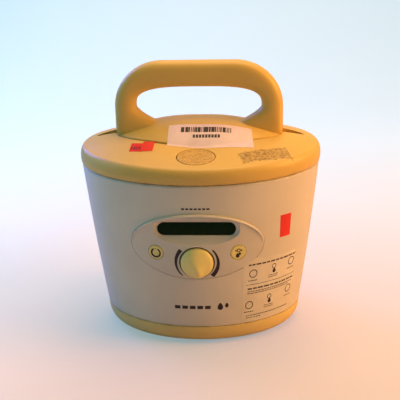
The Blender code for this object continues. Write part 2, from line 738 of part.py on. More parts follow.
def chambers():
    """The flexible diaphragms and the caps that close the two vacuum chambers."""
    top = DECK_Z + DECK_T
    for side, word in ((-1, "left"), (1, "right")):
        centre = Matrix.Translation((side * WELL_X, 0, 0))
        dish = [
            (4.5, 131.8), (5.0, 135.5), (13, 136.2), (WELL_R - 1.4, 138.6), (WELL_R - 0.8, 141.7),
            (WELL_R + 3.2, 141.7), (WELL_R + 3.2, 142.6), (WELL_R - 2.4, 142.6), (12, 137.6), (3.0, 137.4),
        ]
        add(f"diaphragm_{word}", place(turned(dish, 20), centre), "silicone")
        cap = [
            (1.0, top + 12.0), (8.5, top + 11.4), (WELL_R - 0.8, top + 8.6), (WELL_R + 3.5, top + 4.6),
            (WELL_R + 3.5, top + GAP), (WELL_R + 5.0, top + GAP), (WELL_R + 5.0, top + 5.5),
            (WELL_R + 1.0, top + 10.5), (9.0, top + 13.4), (1.0, top + 13.8),
        ]
        obj = add(f"membrane_cap_{word}", place(turned(cap, 24), centre), "clear_cap")
        start = side * (WELL_X + 14)
        port = turned([(4.6, 0), (4.6, 20)], 16)
        bore = turned([(3.3, -6), (3.3, 30)], 16)
        turn = ALONG_X if side > 0 else Matrix.Rotation(math.radians(-90), 4, "Y")
        spot = Matrix.Translation((start, 0, top + 7.4)) @ turn
        boolean(obj, place(port, spot), "UNION")
        boolean(obj, place(bore, spot))


# ---------------------------------------------------------------- electrics and fasteners


def electrics():
    """The battery, boards, mains inlet and program card."""
    add("control_board", block((-42, -55.6, 66), (42, -54.0, 123)), "circuit_board")
    add("main_board", block((-60, -30, 40), (60, -28.4, 120)), "circuit_board")
    battery = add("battery_pack", block((-52, -24, 5.2), (52, 20, 36)), "battery_wrap")
    bevel = battery.modifiers.new("bevel", "BEVEL")
    bevel.width = 3 * MM
    bevel.segments = 2
    add("power_supply", block((-52, 28, 42), (-22, 46, 78)), "circuit_board")
    _, b = body_axes(42)
    rear = b * math.sqrt(1 - (20 / 88) ** 2)
    inlet = add("mains_inlet", block((-18.7, rear - 22, 35), (-1.3, rear - 0.6, 49)), "black_plastic")
    boolean(inlet, block((-16.6, rear - 16, 37), (-3.4, rear + 4, 47)))
    for x in (-14.3, -5.7):
        pin = rod_y((x, 42), 1.2, rear - 17, rear - 4, 10)
        boolean(inlet, pin, "UNION")
    reader = add("card_reader", block((15, rear - 44, 36.5), (52, rear - 16.5, 43.5)), "black_plastic")
    boolean(reader, block((16.8, rear - 40, 38), (50.2, rear + 4, 42)))
    add("program_card", block((17.2, rear - 39, 38.4), (49.8, rear + 3.5, 41.6)), "black_plastic")


def feet_and_screws():
    """Rubber feet under the base, and the screws that hold the base to the housing."""
    number = 0
    for sx in (-1, 1):
        for sy in (-1, 1):
            number += 1
            foot = turned([(6.6, 0), (7.5, 0.6), (7.5, BASE_Z - 0.2)], 20)
            add(f"foot_{number}", place(foot, Matrix.Translation((sx * 50, sy * 32, 0))), "rubber")
            screw = turned([(3.2, 4.9), (3.2, 6.8), (1.5, 7.4), (1.5, 16.0)], 10)
            add(f"base_screw_{number}", place(screw, Matrix.Translation((sx * 62, sy * 24, 0))), "steel")


def main():
    clear_scene()
    base_shell()
    body_shell()
    deck()
    lid_catch()
    hinge_pins()
    lid_pivot = pivot("lid_axis", (0, HINGE_Y, HINGE_Z))
    lid(lid_pivot)
    handle(lid_pivot)
    handle_screws(lid_pivot)
    release(lid_pivot)
    control_panel()
    display()
    keys()
    knob()
    gear_train()
    yoke()
    drive_frame()
    chambers()
    electrics()
    feet_and_screws()


main()
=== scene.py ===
"""Electric breast pump: shells, controls, labels, finishes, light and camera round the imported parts.

It is laid out as an add-on and run as a script. The pump's own lengths are millimetres in the
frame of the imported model, with +Z up and -Y towards the user, and MM turns them into metres.
Shader distances and the studio are in metres, as Blender has them.
"""

import math
import random
from functools import lru_cache, wraps

import bmesh
import bpy
from mathutils import Matrix, Vector


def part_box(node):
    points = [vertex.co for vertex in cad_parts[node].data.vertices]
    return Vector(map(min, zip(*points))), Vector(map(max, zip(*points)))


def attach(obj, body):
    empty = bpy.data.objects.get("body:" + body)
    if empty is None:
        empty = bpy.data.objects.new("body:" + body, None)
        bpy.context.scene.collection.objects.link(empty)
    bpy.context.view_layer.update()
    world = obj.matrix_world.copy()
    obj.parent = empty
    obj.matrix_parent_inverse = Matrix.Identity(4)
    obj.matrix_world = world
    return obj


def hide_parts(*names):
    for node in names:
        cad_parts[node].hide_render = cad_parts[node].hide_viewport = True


bl_info = {
    "name": "Breast pump looks",
    "version": (1, 0, 0),
    "blender": (4, 5, 0),
    "location": "3D View > Sidebar > Pump",
    "description": "Builds the visible shells, controls, labels and studio round a packed breast pump",
    "category": "Object",
}

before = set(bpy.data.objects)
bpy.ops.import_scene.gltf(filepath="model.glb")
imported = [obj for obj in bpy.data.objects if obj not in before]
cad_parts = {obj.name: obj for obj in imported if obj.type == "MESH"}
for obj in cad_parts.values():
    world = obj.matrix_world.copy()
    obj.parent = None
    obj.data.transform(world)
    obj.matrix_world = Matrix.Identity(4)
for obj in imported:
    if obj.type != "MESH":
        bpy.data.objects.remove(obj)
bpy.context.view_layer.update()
MM = 0.001


def cad_box(node):
    """Lowest and highest corner of a CAD node, in millimetres."""
    return tuple(Vector(corner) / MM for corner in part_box(node))


LID_LOW, LID_HIGH = cad_box("lid_shell")
BODY_LOW = cad_box("body_shell")[0]
HANDLE_LOW, HANDLE_HIGH = cad_box("handle")
PANEL_LOW, PANEL_HIGH = cad_box("control_panel")
WINDOW_LOW, WINDOW_HIGH = cad_box("display_window")
PIN_LOW, PIN_HIGH = cad_box("hinge_pin_right")

# Housing and lid
LID_A, LID_B = LID_HIGH.x, -LID_LOW.y
LID_EDGE_Z = 150.4
LID_RIM_Z, LID_CROWN = 163.0, 13.0
BODY_TOP_Z, BODY_TOP_A, BODY_TOP_B = 150.0, 103.5, 78.5
BODY_LOW_Z, BODY_LOW_A, BODY_LOW_B = BODY_LOW.z, 87.5, 66.5
BODY_BULGE = 0.8  # how far the wall swells beyond a straight taper, half way up
BODY_ROUND = 2.2  # radius of the housing's top edge
INLET_HOLE = ((-19, 45, 34.7), (-1, 90, 49.3))
CARD_HOLE = ((16.5, 40, 37.7), (50.5, 90, 42.3))
BASE_A, BASE_B, BASE_Z = 77.0, 56.5, 2.0
WALL = 2.6
AROUND = 224  # points round each shell
LID_ROUND = 5.0  # width of the lid's rolled edge
LID_ROLL_Z = LID_RIM_Z - 7.5  # where the roll turns into the lid's upright rim
SLOT_X, SLOT_Y, SLOT_HALF_LENGTH, SLOT_HALF_WIDTH, SLOT_TAPER = 75.5, 4.5, 15.5, 6.0, 0.35

# Handle
HANDLE_TOP_Z, HANDLE_HALF_WIDTH, HANDLE_HALF_DEPTH = HANDLE_HIGH.z, 72.0, 12.5
SECTION_SPLIT = -4.0  # where the loop's flat front turns into its rounded back
GRIP_HEIGHT, LEG_WIDTH, LOOP_STRAIGHT = 21.8, 18.4, 31.0
LOOP_MIDDLE_Z, LOOP_FLOOR_Z, LOOP_BOTTOM_Z = 197.0, 173.1, 165.0
SEAT_A, SEAT_B, SADDLE_Z, PLATE_Z = 72.5, 37.0, 186.6, HANDLE_LOW.z
FLANGE_A, FLANGE_B = SEAT_A + 6, SEAT_B + 2.4  # the foot plate's hidden rim, under the lid
SEAM = 0.3  # gap between the lid and the pieces set into it

# Controls
PANEL_A = PANEL_HIGH.x
PANEL_Z = (PANEL_LOW.z + PANEL_HIGH.z) / 2
PANEL_B = PANEL_HIGH.z - PANEL_Z
SCOOP_Z, SCOOP_A, SCOOP_B = 109.8, 36.0, 12.6
WINDOW_Z = (WINDOW_LOW.z + WINDOW_HIGH.z) / 2
WINDOW_A, WINDOW_B = WINDOW_HIGH.x, WINDOW_HIGH.z - WINDOW_Z
WINDOW_Y = WINDOW_LOW.y
PANEL_STEP = 0.9  # how far the panel stands out at its middle, and how much more at its top
PANEL_DEPTH = 4.4
BEAD, LIP_SWELL = 0.8, 1.5  # half width of the bead round the panel's upper edge, and its height
TAB_HALF_WIDTH = 7.2  # small tab in the middle of the bead
KNOB_Z, KNOB_R, KNOB_GAP = 81.2, 13.6, 1.3
ARC_R = 17.6  # radius of the printed arcs beside the knob
KEY_X, KEY_Z, KEY_R, KEY_GAP = 34.1, 89.2, 6.5, 0.35
KEY_DISH_R = KEY_R - 1.2
BUTTON_Y, BUTTON_A, BUTTON_B, BUTTON_GAP = -54.6, 15.5, 13.9, 0.7

# Hinge
HINGE_Y, HINGE_Z = (PIN_LOW.y + PIN_HIGH.y) / 2, (PIN_LOW.z + PIN_HIGH.z) / 2
HINGE_R, KNUCKLE_X, BARREL_X, KNUCKLE_HALF = 3.0, 17.5, 30.0, 6.0
KNUCKLE_SOFT = 0.5  # easing of a knuckle's ends

# Inside the lid
DECK_TOP_Z = cad_box("top_deck")[1].z
WELL_X, WELL_R = 44.0, 20.0

# Thin layers
INK_LIFT, FILM_LIFT = 0.02, 0.015  # gap below printed ink and paper, and below the clear film


# ---------------------------------------------------------------- settings


def colour(name, value, words):
    return bpy.props.FloatVectorProperty(
        name=name, description=words, default=value, size=3, min=0.0, max=1.0, subtype="COLOR"
    )


def amount(name, value, words, low=0.0, high=1.0):
    return bpy.props.FloatProperty(
        name=name, description=words, default=value, min=low, max=high, subtype="FACTOR"
    )


class PumpFinish(bpy.types.PropertyGroup):
    """Colours and wear of the moulded pieces."""

    white: colour("White shell", (0.75, 0.725, 0.67), "Colour of the housing and panel")
    yellow: colour("Yellow shell", (0.78, 0.53, 0.14), "Colour of the lid, handle and base")
    key: colour("Keys", (0.90, 0.80, 0.30), "Colour of the knob and keys")
    ink: colour("Ink", (0.012, 0.008, 0.020), "Colour of the printed marks")
    window: colour("Window", (0.002, 0.011, 0.004), "Colour of the display window")
    red: colour("Red sticker", (0.82, 0.022, 0.014), "Colour of the red stickers")
    label: colour("Paper label", (0.94, 0.76, 0.84), "Colour of the bar label")
    grime: amount("Grime", 0.5, "How much dirt has gathered near the seams")
    scuffs: amount("Scuffs", 0.35, "How marked the shells are from use")


class PumpSizes(bpy.types.PropertyGroup):
    """Sizes of the small visible details."""

    sticker: bpy.props.FloatProperty(
        name="Sticker thickness",
        description="How thick the stickers are",
        default=0.14 * MM,
        min=0.02 * MM,
        max=0.5 * MM,
        unit="LENGTH",
        precision=5,
    )
    ink: bpy.props.FloatProperty(
        name="Ink thickness",
        description="How thick the printed marks are",
        default=0.05 * MM,
        min=0.01 * MM,
        max=0.2 * MM,
        unit="LENGTH",
        precision=5,
    )


class PumpStudio(bpy.types.PropertyGroup):
    """Light and camera."""

    azimuth: bpy.props.FloatProperty(
        name="Azimuth",
        description="Turn of the camera round the pump from straight in front",
        default=math.radians(3.87),
        subtype="ANGLE",
    )
    elevation: bpy.props.FloatProperty(
        name="Elevation",
        description="Height of the camera above the horizon, as an angle",
        default=math.radians(20.05),
        subtype="ANGLE",
    )
    roll: bpy.props.FloatProperty(
        name="Roll",
        description="Tilt of the camera about its own axis",
        default=math.radians(-1.43),
        subtype="ANGLE",
    )
    distance: bpy.props.FloatProperty(
        name="Distance",
        description="Distance from the camera to its target",
        default=0.818,
        min=0.1,
        unit="LENGTH",
    )
    target_height: bpy.props.FloatProperty(
        name="Target height",
        description="Height of the point that the camera looks at",
        default=0.11,
        unit="LENGTH",
    )
    lens: bpy.props.FloatProperty(
        name="Lens", description="Focal length in millimetres", default=82.5, min=10.0, max=300.0
    )
    warm: amount("Warm light", 1.0, "Strength of the amber light on the right", high=4.0)
    cool: amount("Cool light", 1.0, "Strength of the blue light on the left", high=4.0)


# ---------------------------------------------------------------- surfaces


def body_axes(z):
    """Half width and half depth of the housing at a height."""
    t = (z - BODY_LOW_Z) / (BODY_TOP_Z - BODY_LOW_Z)
    bulge = BODY_BULGE * 4 * t * (1 - t) if 0 < t < 1 else 0.0
    return (
        BODY_LOW_A + (BODY_TOP_A - BODY_LOW_A) * t + bulge,
        BODY_LOW_B + (BODY_TOP_B - BODY_LOW_B) * t + bulge,
    )


def front_y(x, z):
    """Y of the housing's front surface."""
    a, b = body_axes(z)
    return -b * math.sqrt(max(0.0, 1 - (x / a) ** 2))


def smooth_step(t):
    t = min(1.0, max(0.0, t))
    return t * t * (3 - 2 * t)


def panel_proud(z):
    """How far the control panel stands out: nearly flush at its foot, most at its upper lip."""
    rise = (z - PANEL_Z) / PANEL_B
    return PANEL_STEP * (smooth_step((rise + 1.05) / 0.45) + max(0.0, rise))


def panel_y(x, z):
    return front_y(x, z) - panel_proud(z)


def lid_z(x, y):
    """Height of the lid's outer top surface."""
    u, v = x / LID_A, y / LID_B
    rho = min(1.0, math.hypot(u, v))
    if rho < 1e-6:
        return LID_RIM_Z + LID_CROWN
    power = 0.95 + 3.05 * (u / rho) ** 2
    return LID_RIM_Z + LID_CROWN * (1 - rho**power)


def saddle_z(x, y):
    """Height of the handle's foot plate, which meets the lid round its edge."""
    share = math.hypot(x / (SEAT_A - SEAM), y / (SEAT_B - SEAM))
    if share < 1e-6:
        return SADDLE_Z
    edge = lid_z(x / share, y / share)
    return edge + (SADDLE_Z - edge) * (1 - min(1.0, share) ** 2.4)


def top_z(x, y):
    """Height of whatever faces up at a point: the foot plate, or the lid round it."""
    if math.hypot(x / SEAT_A, y / SEAT_B) < 1:
        return saddle_z(x, y)
    return lid_z(x, y)


def normal_of(height, x, y, step=0.4):
    """Upward normal of a height function."""
    dx = (height(x + step, y) - height(x - step, y)) / (2 * step)
    dy = (height(x, y + step) - height(x, y - step)) / (2 * step)
    return Vector((-dx, -dy, 1)).normalized()


def on_top(x, y):
    """Point and normal on the lid or foot plate."""
    return Vector((x, y, top_z(x, y))), normal_of(top_z, x, y)


def front_normal(surface, x, z, step=0.4):
    dx = (surface(x + step, z) - surface(x - step, z)) / (2 * step)
    dz = (surface(x, z + step) - surface(x, z - step)) / (2 * step)
    return Vector((dx, -1, dz)).normalized()


def on_panel(x, z):
    """Point and normal on the control panel."""
    return Vector((x, panel_y(x, z), z)), front_normal(panel_y, x, z)


@lru_cache(maxsize=1)
def arc_table():
    """Angles round the housing against the length of arc from the middle of its front."""
    a, b = body_axes(PANEL_Z)
    table, length, steps = [(0.0, 0.0)], 0.0, 400
    for i in range(steps):
        turn = (i + 0.5) / steps * math.pi / 2
        length += math.hypot(a * math.cos(turn), b * math.sin(turn)) * math.pi / 2 / steps
        table.append((length, (i + 1) / steps * math.pi / 2))
    return table


def on_body(arc, z):
    """Point and normal on the housing, arc millimetres round it from the middle of the front."""
    table = arc_table()
    reach = abs(arc) / table[-1][0] * (len(table) - 1)
    low, high = 0, len(table) - 1
    while high - low > 1:
        middle = (low + high) // 2
        if table[middle][0] <= abs(arc):
            low = middle
        else:
            high = middle
    span = table[high][0] - table[low][0]
    share = (abs(arc) - table[low][0]) / span if reach else 0.0
    turn = math.copysign(table[low][1] + share * (table[high][1] - table[low][1]), arc)
    a, b = body_axes(z)
    point = Vector((a * math.sin(turn), -b * math.cos(turn), z))
    return point, front_normal(front_y, point.x, z, 0.2)


def front_frame(x, z):
    """Matrix in millimetres whose local +Z is the front's outward normal and +Y runs up it."""
    step = 0.5
    across = Vector((2 * step, front_y(x + step, z) - front_y(x - step, z), 0))
    upward = Vector((0, front_y(x, z + step) - front_y(x, z - step), 2 * step))
    normal = across.cross(upward).normalized()
    across.normalize()
    proud = PANEL_STEP * (1 + max(0.0, (z - PANEL_Z) / PANEL_B))
    matrix = Matrix.Identity(4)
    for column, axis in enumerate((across, normal.cross(across), normal)):
        for row in range(3):
            matrix[row][column] = axis[row]
    matrix.translation = Vector((x, front_y(x, z), z)) + normal * proud
    return matrix


# ---------------------------------------------------------------- outlines and meshes


def ellipse(a, b, z=0.0, count=AROUND, y=0.0):
    """Points round an ellipse; z may be a height or a function of x and y."""
    ring = []
    for i in range(count):
        turn = 2 * math.pi * i / count
        px, py = a * math.cos(turn), y + b * math.sin(turn)
        ring.append((px, py, z(px, py) if callable(z) else z))
    return ring


def stadium(half_length, half_width, count=96):
    """Points round a bar with full round ends, evenly spaced from its right end."""
    straight = half_length - half_width
    dense = []
    for side in (0, 1):
        for i in range(40):
            turn = math.pi * (i / 40 - 0.5) + math.pi * side
            shift = straight if side == 0 else -straight
            dense.append((shift + half_width * math.cos(turn), half_width * math.sin(turn)))
    dense = dense[20:] + dense[:20]
    return evenly(dense, count)


def corner(value, power):
    """A sine or cosine reshaped, so that its outline bulges more into its corners as power grows."""
    return math.copysign(abs(value) ** (2 / power), value)


def superellipse(upper, lower, count):
    """Unit points round an outline with its own power above and below the middle."""
    points = []
    for i in range(count):
        cos, sin = math.cos(2 * math.pi * i / count), math.sin(2 * math.pi * i / count)
        power = upper if sin > 0 else lower
        points.append((corner(cos, power), corner(sin, power)))
    return points


def evenly(points, count):
    """A closed outline's points spaced evenly, keeping the first."""
    closed = points + points[:1]
    lengths = [math.dist(p, q) for p, q in zip(closed, closed[1:])]
    total, result, index, passed = sum(lengths), [], 0, 0.0
    for k in range(count):
        wanted = total * k / count
        while passed + lengths[index] < wanted:
            passed += lengths[index]
            index += 1
        share = (wanted - passed) / lengths[index] if lengths[index] else 0.0
        p, q = closed[index], closed[index + 1]
        result.append(tuple(p[i] + (q[i] - p[i]) * share for i in range(len(p))))
    return result


def mix(a, b, t):
    return a + (b - a) * t


def between(inner, outer, t):
    return [tuple(mix(p[i], q[i], t) for i in range(len(p))) for p, q in zip(inner, outer)]


def arc(centre, radius, start, end, steps):
    """Points of an arc as (offset, height), angles in degrees."""
    points = []
    for i in range(steps + 1):
        turn = math.radians(mix(start, end, i / steps))
        points.append((centre[0] + radius * math.cos(turn), centre[1] + radius * math.sin(turn)))
    return points


def to_mesh(name, points, faces):
    mesh = bpy.data.meshes.new(name)
    mesh.from_pydata([Vector(p) * MM for p in points], [], faces)
    bm = bmesh.new()
    bm.from_mesh(mesh)
    bmesh.ops.remove_doubles(bm, verts=bm.verts, dist=1e-7)
    bmesh.ops.recalc_face_normals(bm, faces=bm.faces)
    if bm.calc_volume(signed=True) < 0:
        bmesh.ops.reverse_faces(bm, faces=bm.faces)
    bm.to_mesh(mesh)
    bm.free()
    return shaded(mesh)


def shaded(mesh, angle=38):
    mesh.shade_smooth()
    mesh.set_sharp_from_angle(angle=math.radians(angle))
    return mesh


def piece(name, mesh):
    """A visible piece holding a mesh, in the scene."""
    obj = bpy.data.objects.new(name, mesh)
    bpy.context.scene.collection.objects.link(obj)
    return obj


def skin(name, rows, closed=False):
    """A closed solid over rows of equal count, capped at both ends or joined into a loop."""
    count = len(rows[0])
    points = [p for row in rows for p in row]
    faces = []
    pairs = [(k, k + 1) for k in range(len(rows) - 1)]
    if closed:
        pairs.append((len(rows) - 1, 0))
    else:
        faces.append(tuple(range(count)))
        faces.append(tuple((len(rows) - 1) * count + i for i in range(count)))
    for low, high in pairs:
        for i in range(count):
            j = (i + 1) % count
            faces.append((low * count + i, low * count + j, high * count + j, high * count + i))
    return piece(name, to_mesh(name, points, faces))


def slab(rows, surface, low, high, loop=False):
    """Points and faces of a thin closed sheet over rows of (u, v), lying on a surface."""
    across, points, faces = len(rows[0]), [], []
    for row in rows:
        for u, v in row:
            point, normal = surface(u, v)
            points.append(point + normal * high)
            points.append(point + normal * low)

    def index(row, column, under):
        return 2 * ((row % len(rows)) * across + column) + under

    last = len(rows) if loop else len(rows) - 1
    for r in range(last):
        for c in range(across - 1):
            top = [index(r, c, 0), index(r, c + 1, 0), index(r + 1, c + 1, 0), index(r + 1, c, 0)]
            faces.append(tuple(top))
            faces.append(tuple(i + 1 for i in reversed(top)))
        for c in (0, across - 1):
            faces.append((index(r, c, 0), index(r + 1, c, 0), index(r + 1, c, 1), index(r, c, 1)))
    if not loop:
        for r in (0, len(rows) - 1):
            for c in range(across - 1):
                side = ((r, c, 0), (r, c + 1, 0), (r, c + 1, 1), (r, c, 1))
                faces.append(tuple(index(*corner) for corner in side))
    return points, faces


def ribbon(path, width, loop=False, across=1):
    """Rows of (u, v) for a band of ink along a path; width may change along it."""
    rows, count = [], len(path)
    for i, (u, v) in enumerate(path):
        before = path[i - 1] if i or loop else path[0]
        after = path[(i + 1) % count] if i < count - 1 or loop else path[-1]
        along = Vector((after[0] - before[0], after[1] - before[1])).normalized()
        half = (width(i / (count - 1)) if callable(width) else width) / 2
        side = Vector((-along.y, along.x)) * half
        shares = [2 * k / across - 1 for k in range(across + 1)]
        rows.append([(u + side.x * share, v + side.y * share) for share in shares])
    return rows


def disc_rows(outline, rings=4):
    """Rows of (u, v) that fill an outline, from near its middle outwards."""
    middle = (sum(p[0] for p in outline) / len(outline), sum(p[1] for p in outline) / len(outline))
    centre = [middle] * len(outline)
    columns = [between(centre, outline, mix(0.02, 1, k / rings)) for k in range(rings + 1)]
    return [[column[i] for column in columns] for i in range(len(outline))]


class Sheet:
    """Collects thin slabs that make one piece, such as all the ink of one mark."""

    def __init__(self, surface, low, high):
        self.surface, self.low, self.high = surface, low, high
        self.points, self.faces = [], []

    def add(self, rows, loop=False):
        points, faces = slab(rows, self.surface, self.low, self.high, loop)
        start = len(self.points)
        self.points += points
        self.faces += [tuple(i + start for i in face) for face in faces]

    def line(self, path, width, loop=False, across=1):
        self.add(ribbon(path, width, loop, across), loop)

    def fill(self, outline, rings=4):
        """Fills an outline with rows from near its middle, and closes the small hole left there."""
        rows = disc_rows(outline, rings)
        start = len(self.points)
        self.add(rows, loop=True)
        count, across = len(rows), len(rows[0])
        for under in (0, 1):
            face = [start + 2 * r * across + under for r in range(count)]
            self.faces.append(tuple(face if under else reversed(face)))
        firsts = [start + 2 * r * across for r in range(count)]
        inner = {frozenset((first, first + 1)) for first in firsts}

        def closes_hole(face):
            """Whether a face is part of the wall round the small hole, which the new faces replace."""
            if len(face) != 4:
                return False
            return frozenset(face[:1] + face[3:]) in inner and frozenset(face[1:3]) in inner

        self.faces = [face for face in self.faces if not closes_hole(face)]

    def ring(self, u, v, radius, width, start=0.0, end=360.0, count=40):
        whole = end - start >= 360
        steps = count if whole else count + 1
        path = []
        for i in range(steps):
            turn = math.radians(mix(start, end, i / count))
            path.append((u + radius * math.cos(turn), v + radius * math.sin(turn)))
        self.line(path, width, loop=whole)

    def done(self, name):
        mesh = bpy.data.meshes.new(name)
        mesh.from_pydata([Vector(p) * MM for p in self.points], [], self.faces)
        bm = bmesh.new()
        bm.from_mesh(mesh)
        bmesh.ops.recalc_face_normals(bm, faces=bm.faces)
        bm.to_mesh(mesh)
        bm.free()
        return piece(name, shaded(mesh))


def applied(obj):
    """Makes an object's modifiers part of its mesh."""
    graph = bpy.context.evaluated_depsgraph_get()
    mesh = bpy.data.meshes.new_from_object(obj.evaluated_get(graph))
    obj.modifiers.clear()
    obj.data = mesh
    return obj


def carve(obj, tools, operation="DIFFERENCE"):
    """Cuts each tool from an object, or joins it on, and removes the tool."""
    for tool in tools:
        modifier = obj.modifiers.new("carve", "BOOLEAN")
        modifier.object = tool
        modifier.operation = operation
        modifier.solver = "EXACT"
        bpy.context.view_layer.update()
        applied(obj)
        bpy.data.objects.remove(tool, do_unlink=True)
    shaded(obj.data)
    return obj


def turned(name, profile, count=64, matrix=None):
    """A solid turned about Z from (radius, height) points, placed by a matrix in millimetres."""
    rows = [ellipse(max(r, 0.01), max(r, 0.01), z, count) for r, z in profile]
    if matrix is not None:
        rows = [[matrix @ Vector(p) for p in row] for row in rows]
    return skin(name, rows)


def rounded_block(name, low, high, radius):
    """A box with rounded edges."""
    bm = bmesh.new()
    bmesh.ops.create_cube(bm, size=1.0)
    low, high = Vector(low) * MM, Vector(high) * MM
    shape = Matrix.Translation((low + high) / 2) @ Matrix.Diagonal((*(high - low), 1))
    bmesh.ops.transform(bm, matrix=shape, verts=bm.verts)
    bmesh.ops.bevel(
        bm, geom=bm.edges[:], offset=radius * MM, segments=4, profile=0.5, affect="EDGES"
    )
    mesh = bpy.data.meshes.new(name)
    bm.to_mesh(mesh)
    bm.free()
    return piece(name, shaded(mesh))


ALONG_X = Matrix.Rotation(math.radians(90), 4, "Y")


# ---------------------------------------------------------------- finishes


def node(tree, kind, inputs=None, **settings):
    """A shader node with its settings, and its inputs set to values or joined to sockets."""
    made = tree.nodes.new("ShaderNode" + kind)
    for name, value in settings.items():
        setattr(made, name, value)
    for name, value in (inputs or {}).items():
        if isinstance(value, bpy.types.NodeSocket):
            tree.links.new(value, made.inputs[name])
        else:
            made.inputs[name].default_value = value
    return made


def maths(tree, operation, a, b=0.0, clamp=False):
    return node(tree, "Math", {0: a, 1: b}, operation=operation, use_clamp=clamp).outputs[0]


def place(tree):
    """Position in the piece's own space, in metres."""
    return node(tree, "TexCoord").outputs["Object"]


def noise(tree, spot, scale, detail, **more):
    """The value of a noise texture at a spot."""
    inputs = {"Vector": spot, "Scale": scale, "Detail": detail, **more}
    return node(tree, "TexNoise", inputs).outputs["Fac"]


def spread(tree, value, low, high, start=0.0, end=1.0, **settings):
    """A value stretched from low..high to start..end, and held at those ends."""
    inputs = {"Value": value, "From Min": low, "From Max": high, "To Min": start, "To Max": end}
    return node(tree, "MapRange", inputs, **settings).outputs["Result"]


def effect(name, inputs, outputs, wire):
    """A shader node group with named inputs and outputs, built once."""
    if name in bpy.data.node_groups:
        return bpy.data.node_groups[name]
    tree = bpy.data.node_groups.new(name, "ShaderNodeTree")
    for label, kind, value in inputs:
        socket = tree.interface.new_socket(label, in_out="INPUT", socket_type="NodeSocket" + kind)
        socket.default_value = value
    for label, kind in outputs:
        tree.interface.new_socket(label, in_out="OUTPUT", socket_type="NodeSocket" + kind)
    entry, leave = tree.nodes.new("NodeGroupInput"), tree.nodes.new("NodeGroupOutput")
    for label, socket in wire(tree, entry.outputs).items():
        tree.links.new(socket, leave.inputs[label])
    return tree


def use(tree, group, **values):
    """An effect placed in a material, with its inputs given by name."""
    made = tree.nodes.new("ShaderNodeGroup")
    made.node_tree = group
    for label, value in values.items():
        socket = made.inputs[label.replace("_", " ").capitalize()]
        if isinstance(value, bpy.types.NodeSocket):
            tree.links.new(value, socket)
        else:
            socket.default_value = value
    return made.outputs


def moulded_grain():
    """The fine spark-eroded texture of moulded plastic, with slow changes of tone."""

    def wire(tree, given):
        spot = place(tree)
        fine = noise(tree, spot, given["Grain"], 3.0, Roughness=0.6)
        slow = noise(tree, spot, given["Mottle"], 4.0, Roughness=0.55)
        return {"Height": fine, "Tone": spread(tree, slow, 0.3, 0.7)}

    inputs = (("Grain", "Float", 1500.0), ("Mottle", "Float", 18.0))
    return effect("Moulded grain", inputs, (("Height", "Float"), ("Tone", "Float")), wire)


def scuff_marks():
    """Fine crossing scratches and rubbed spots."""

    def wire(tree, given):
        masks = []
        for turn, stretch in ((0.5, (30, 900, 30)), (-0.7, (700, 25, 700)), (1.9, (900, 40, 60))):
            pulled = {"Vector": place(tree), "Rotation": (turn, turn * 0.7, turn), "Scale": stretch}
            streaks = noise(tree, node(tree, "Mapping", pulled).outputs["Vector"], 1.0, 2.0)
            masks.append(spread(tree, streaks, 0.68, 0.74))
        joined = maths(tree, "MAXIMUM", maths(tree, "MAXIMUM", masks[0], masks[1]), masks[2])
        where = spread(tree, noise(tree, place(tree), given["Patch"], 2.0), 0.45, 0.65)
        marks = maths(tree, "MULTIPLY", joined, where)
        return {"Mask": maths(tree, "MULTIPLY", marks, given["Amount"], clamp=True)}

    inputs = (("Patch", "Float", 25.0), ("Amount", "Float", 1.0))
    return effect("Scuff marks", inputs, (("Mask", "Float"),), wire)


def seam_grime():
    """Dirt that gathers just above or below one level."""

    def wire(tree, given):
        height = node(tree, "SeparateXYZ", {"Vector": place(tree)}).outputs["Z"]
        away = maths(tree, "ABSOLUTE", maths(tree, "SUBTRACT", height, given["Level"]))
        near = spread(tree, away, 0.0, given["Reach"], 1.0, 0.0, interpolation_type="SMOOTHSTEP")
        broken = spread(tree, noise(tree, place(tree), 70.0, 5.0, Roughness=0.65), 0.35, 0.7)
        mask = maths(tree, "MULTIPLY", near, broken)
        return {"Mask": maths(tree, "MULTIPLY", mask, given["Amount"], clamp=True)}

    inputs = (("Level", "Float", 0.0), ("Reach", "Float", 0.004), ("Amount", "Float", 1.0))
    return effect("Seam grime", inputs, (("Mask", "Float"),), wire)


def speckle():
    """Small ragged specks, as of worn coating or old glue."""

    def wire(tree, given):
        cloud = noise(tree, place(tree), given["Scale"], 6.0, Roughness=0.75)
        return {"Mask": spread(tree, cloud, given["Cover"], 0.62)}

    inputs = (("Scale", "Float", 400.0), ("Cover", "Float", 0.5))
    return effect("Speckle", inputs, (("Mask", "Float"),), wire)


def patch_mask():
    """A rectangle in plan with worn edges: 1 inside it and 0 outside."""

    def wire(tree, given):
        centred = {0: place(tree), 1: given["Centre"]}
        shifted = node(tree, "VectorMath", centred, operation="SUBTRACT").outputs["Vector"]
        turning = {"Vector": shifted, "Angle": given["Turn"]}
        spot = node(tree, "VectorRotate", turning, rotation_type="Z_AXIS").outputs["Vector"]
        ragged = maths(tree, "SUBTRACT", noise(tree, place(tree), 350.0, 3.0), 0.5)
        shake = maths(tree, "MULTIPLY", ragged, 0.006)
        parts = node(tree, "SeparateXYZ", {"Vector": spot}).outputs
        sizes = node(tree, "SeparateXYZ", {"Vector": given["Half"]}).outputs
        inside = []
        for axis in ("X", "Y"):
            depth = maths(tree, "SUBTRACT", sizes[axis], maths(tree, "ABSOLUTE", parts[axis]))
            inside.append(spread(tree, maths(tree, "ADD", depth, shake), 0.0, 0.0008))
        return {"Mask": maths(tree, "MULTIPLY", *inside)}

    inputs = (
        ("Centre", "Vector", (0.0, 0.0, 0.0)),
        ("Half", "Vector", (0.01, 0.01, 0.01)),
        ("Turn", "Float", 0.0),
    )
    return effect("Worn patch", inputs, (("Mask", "Float"),), wire)


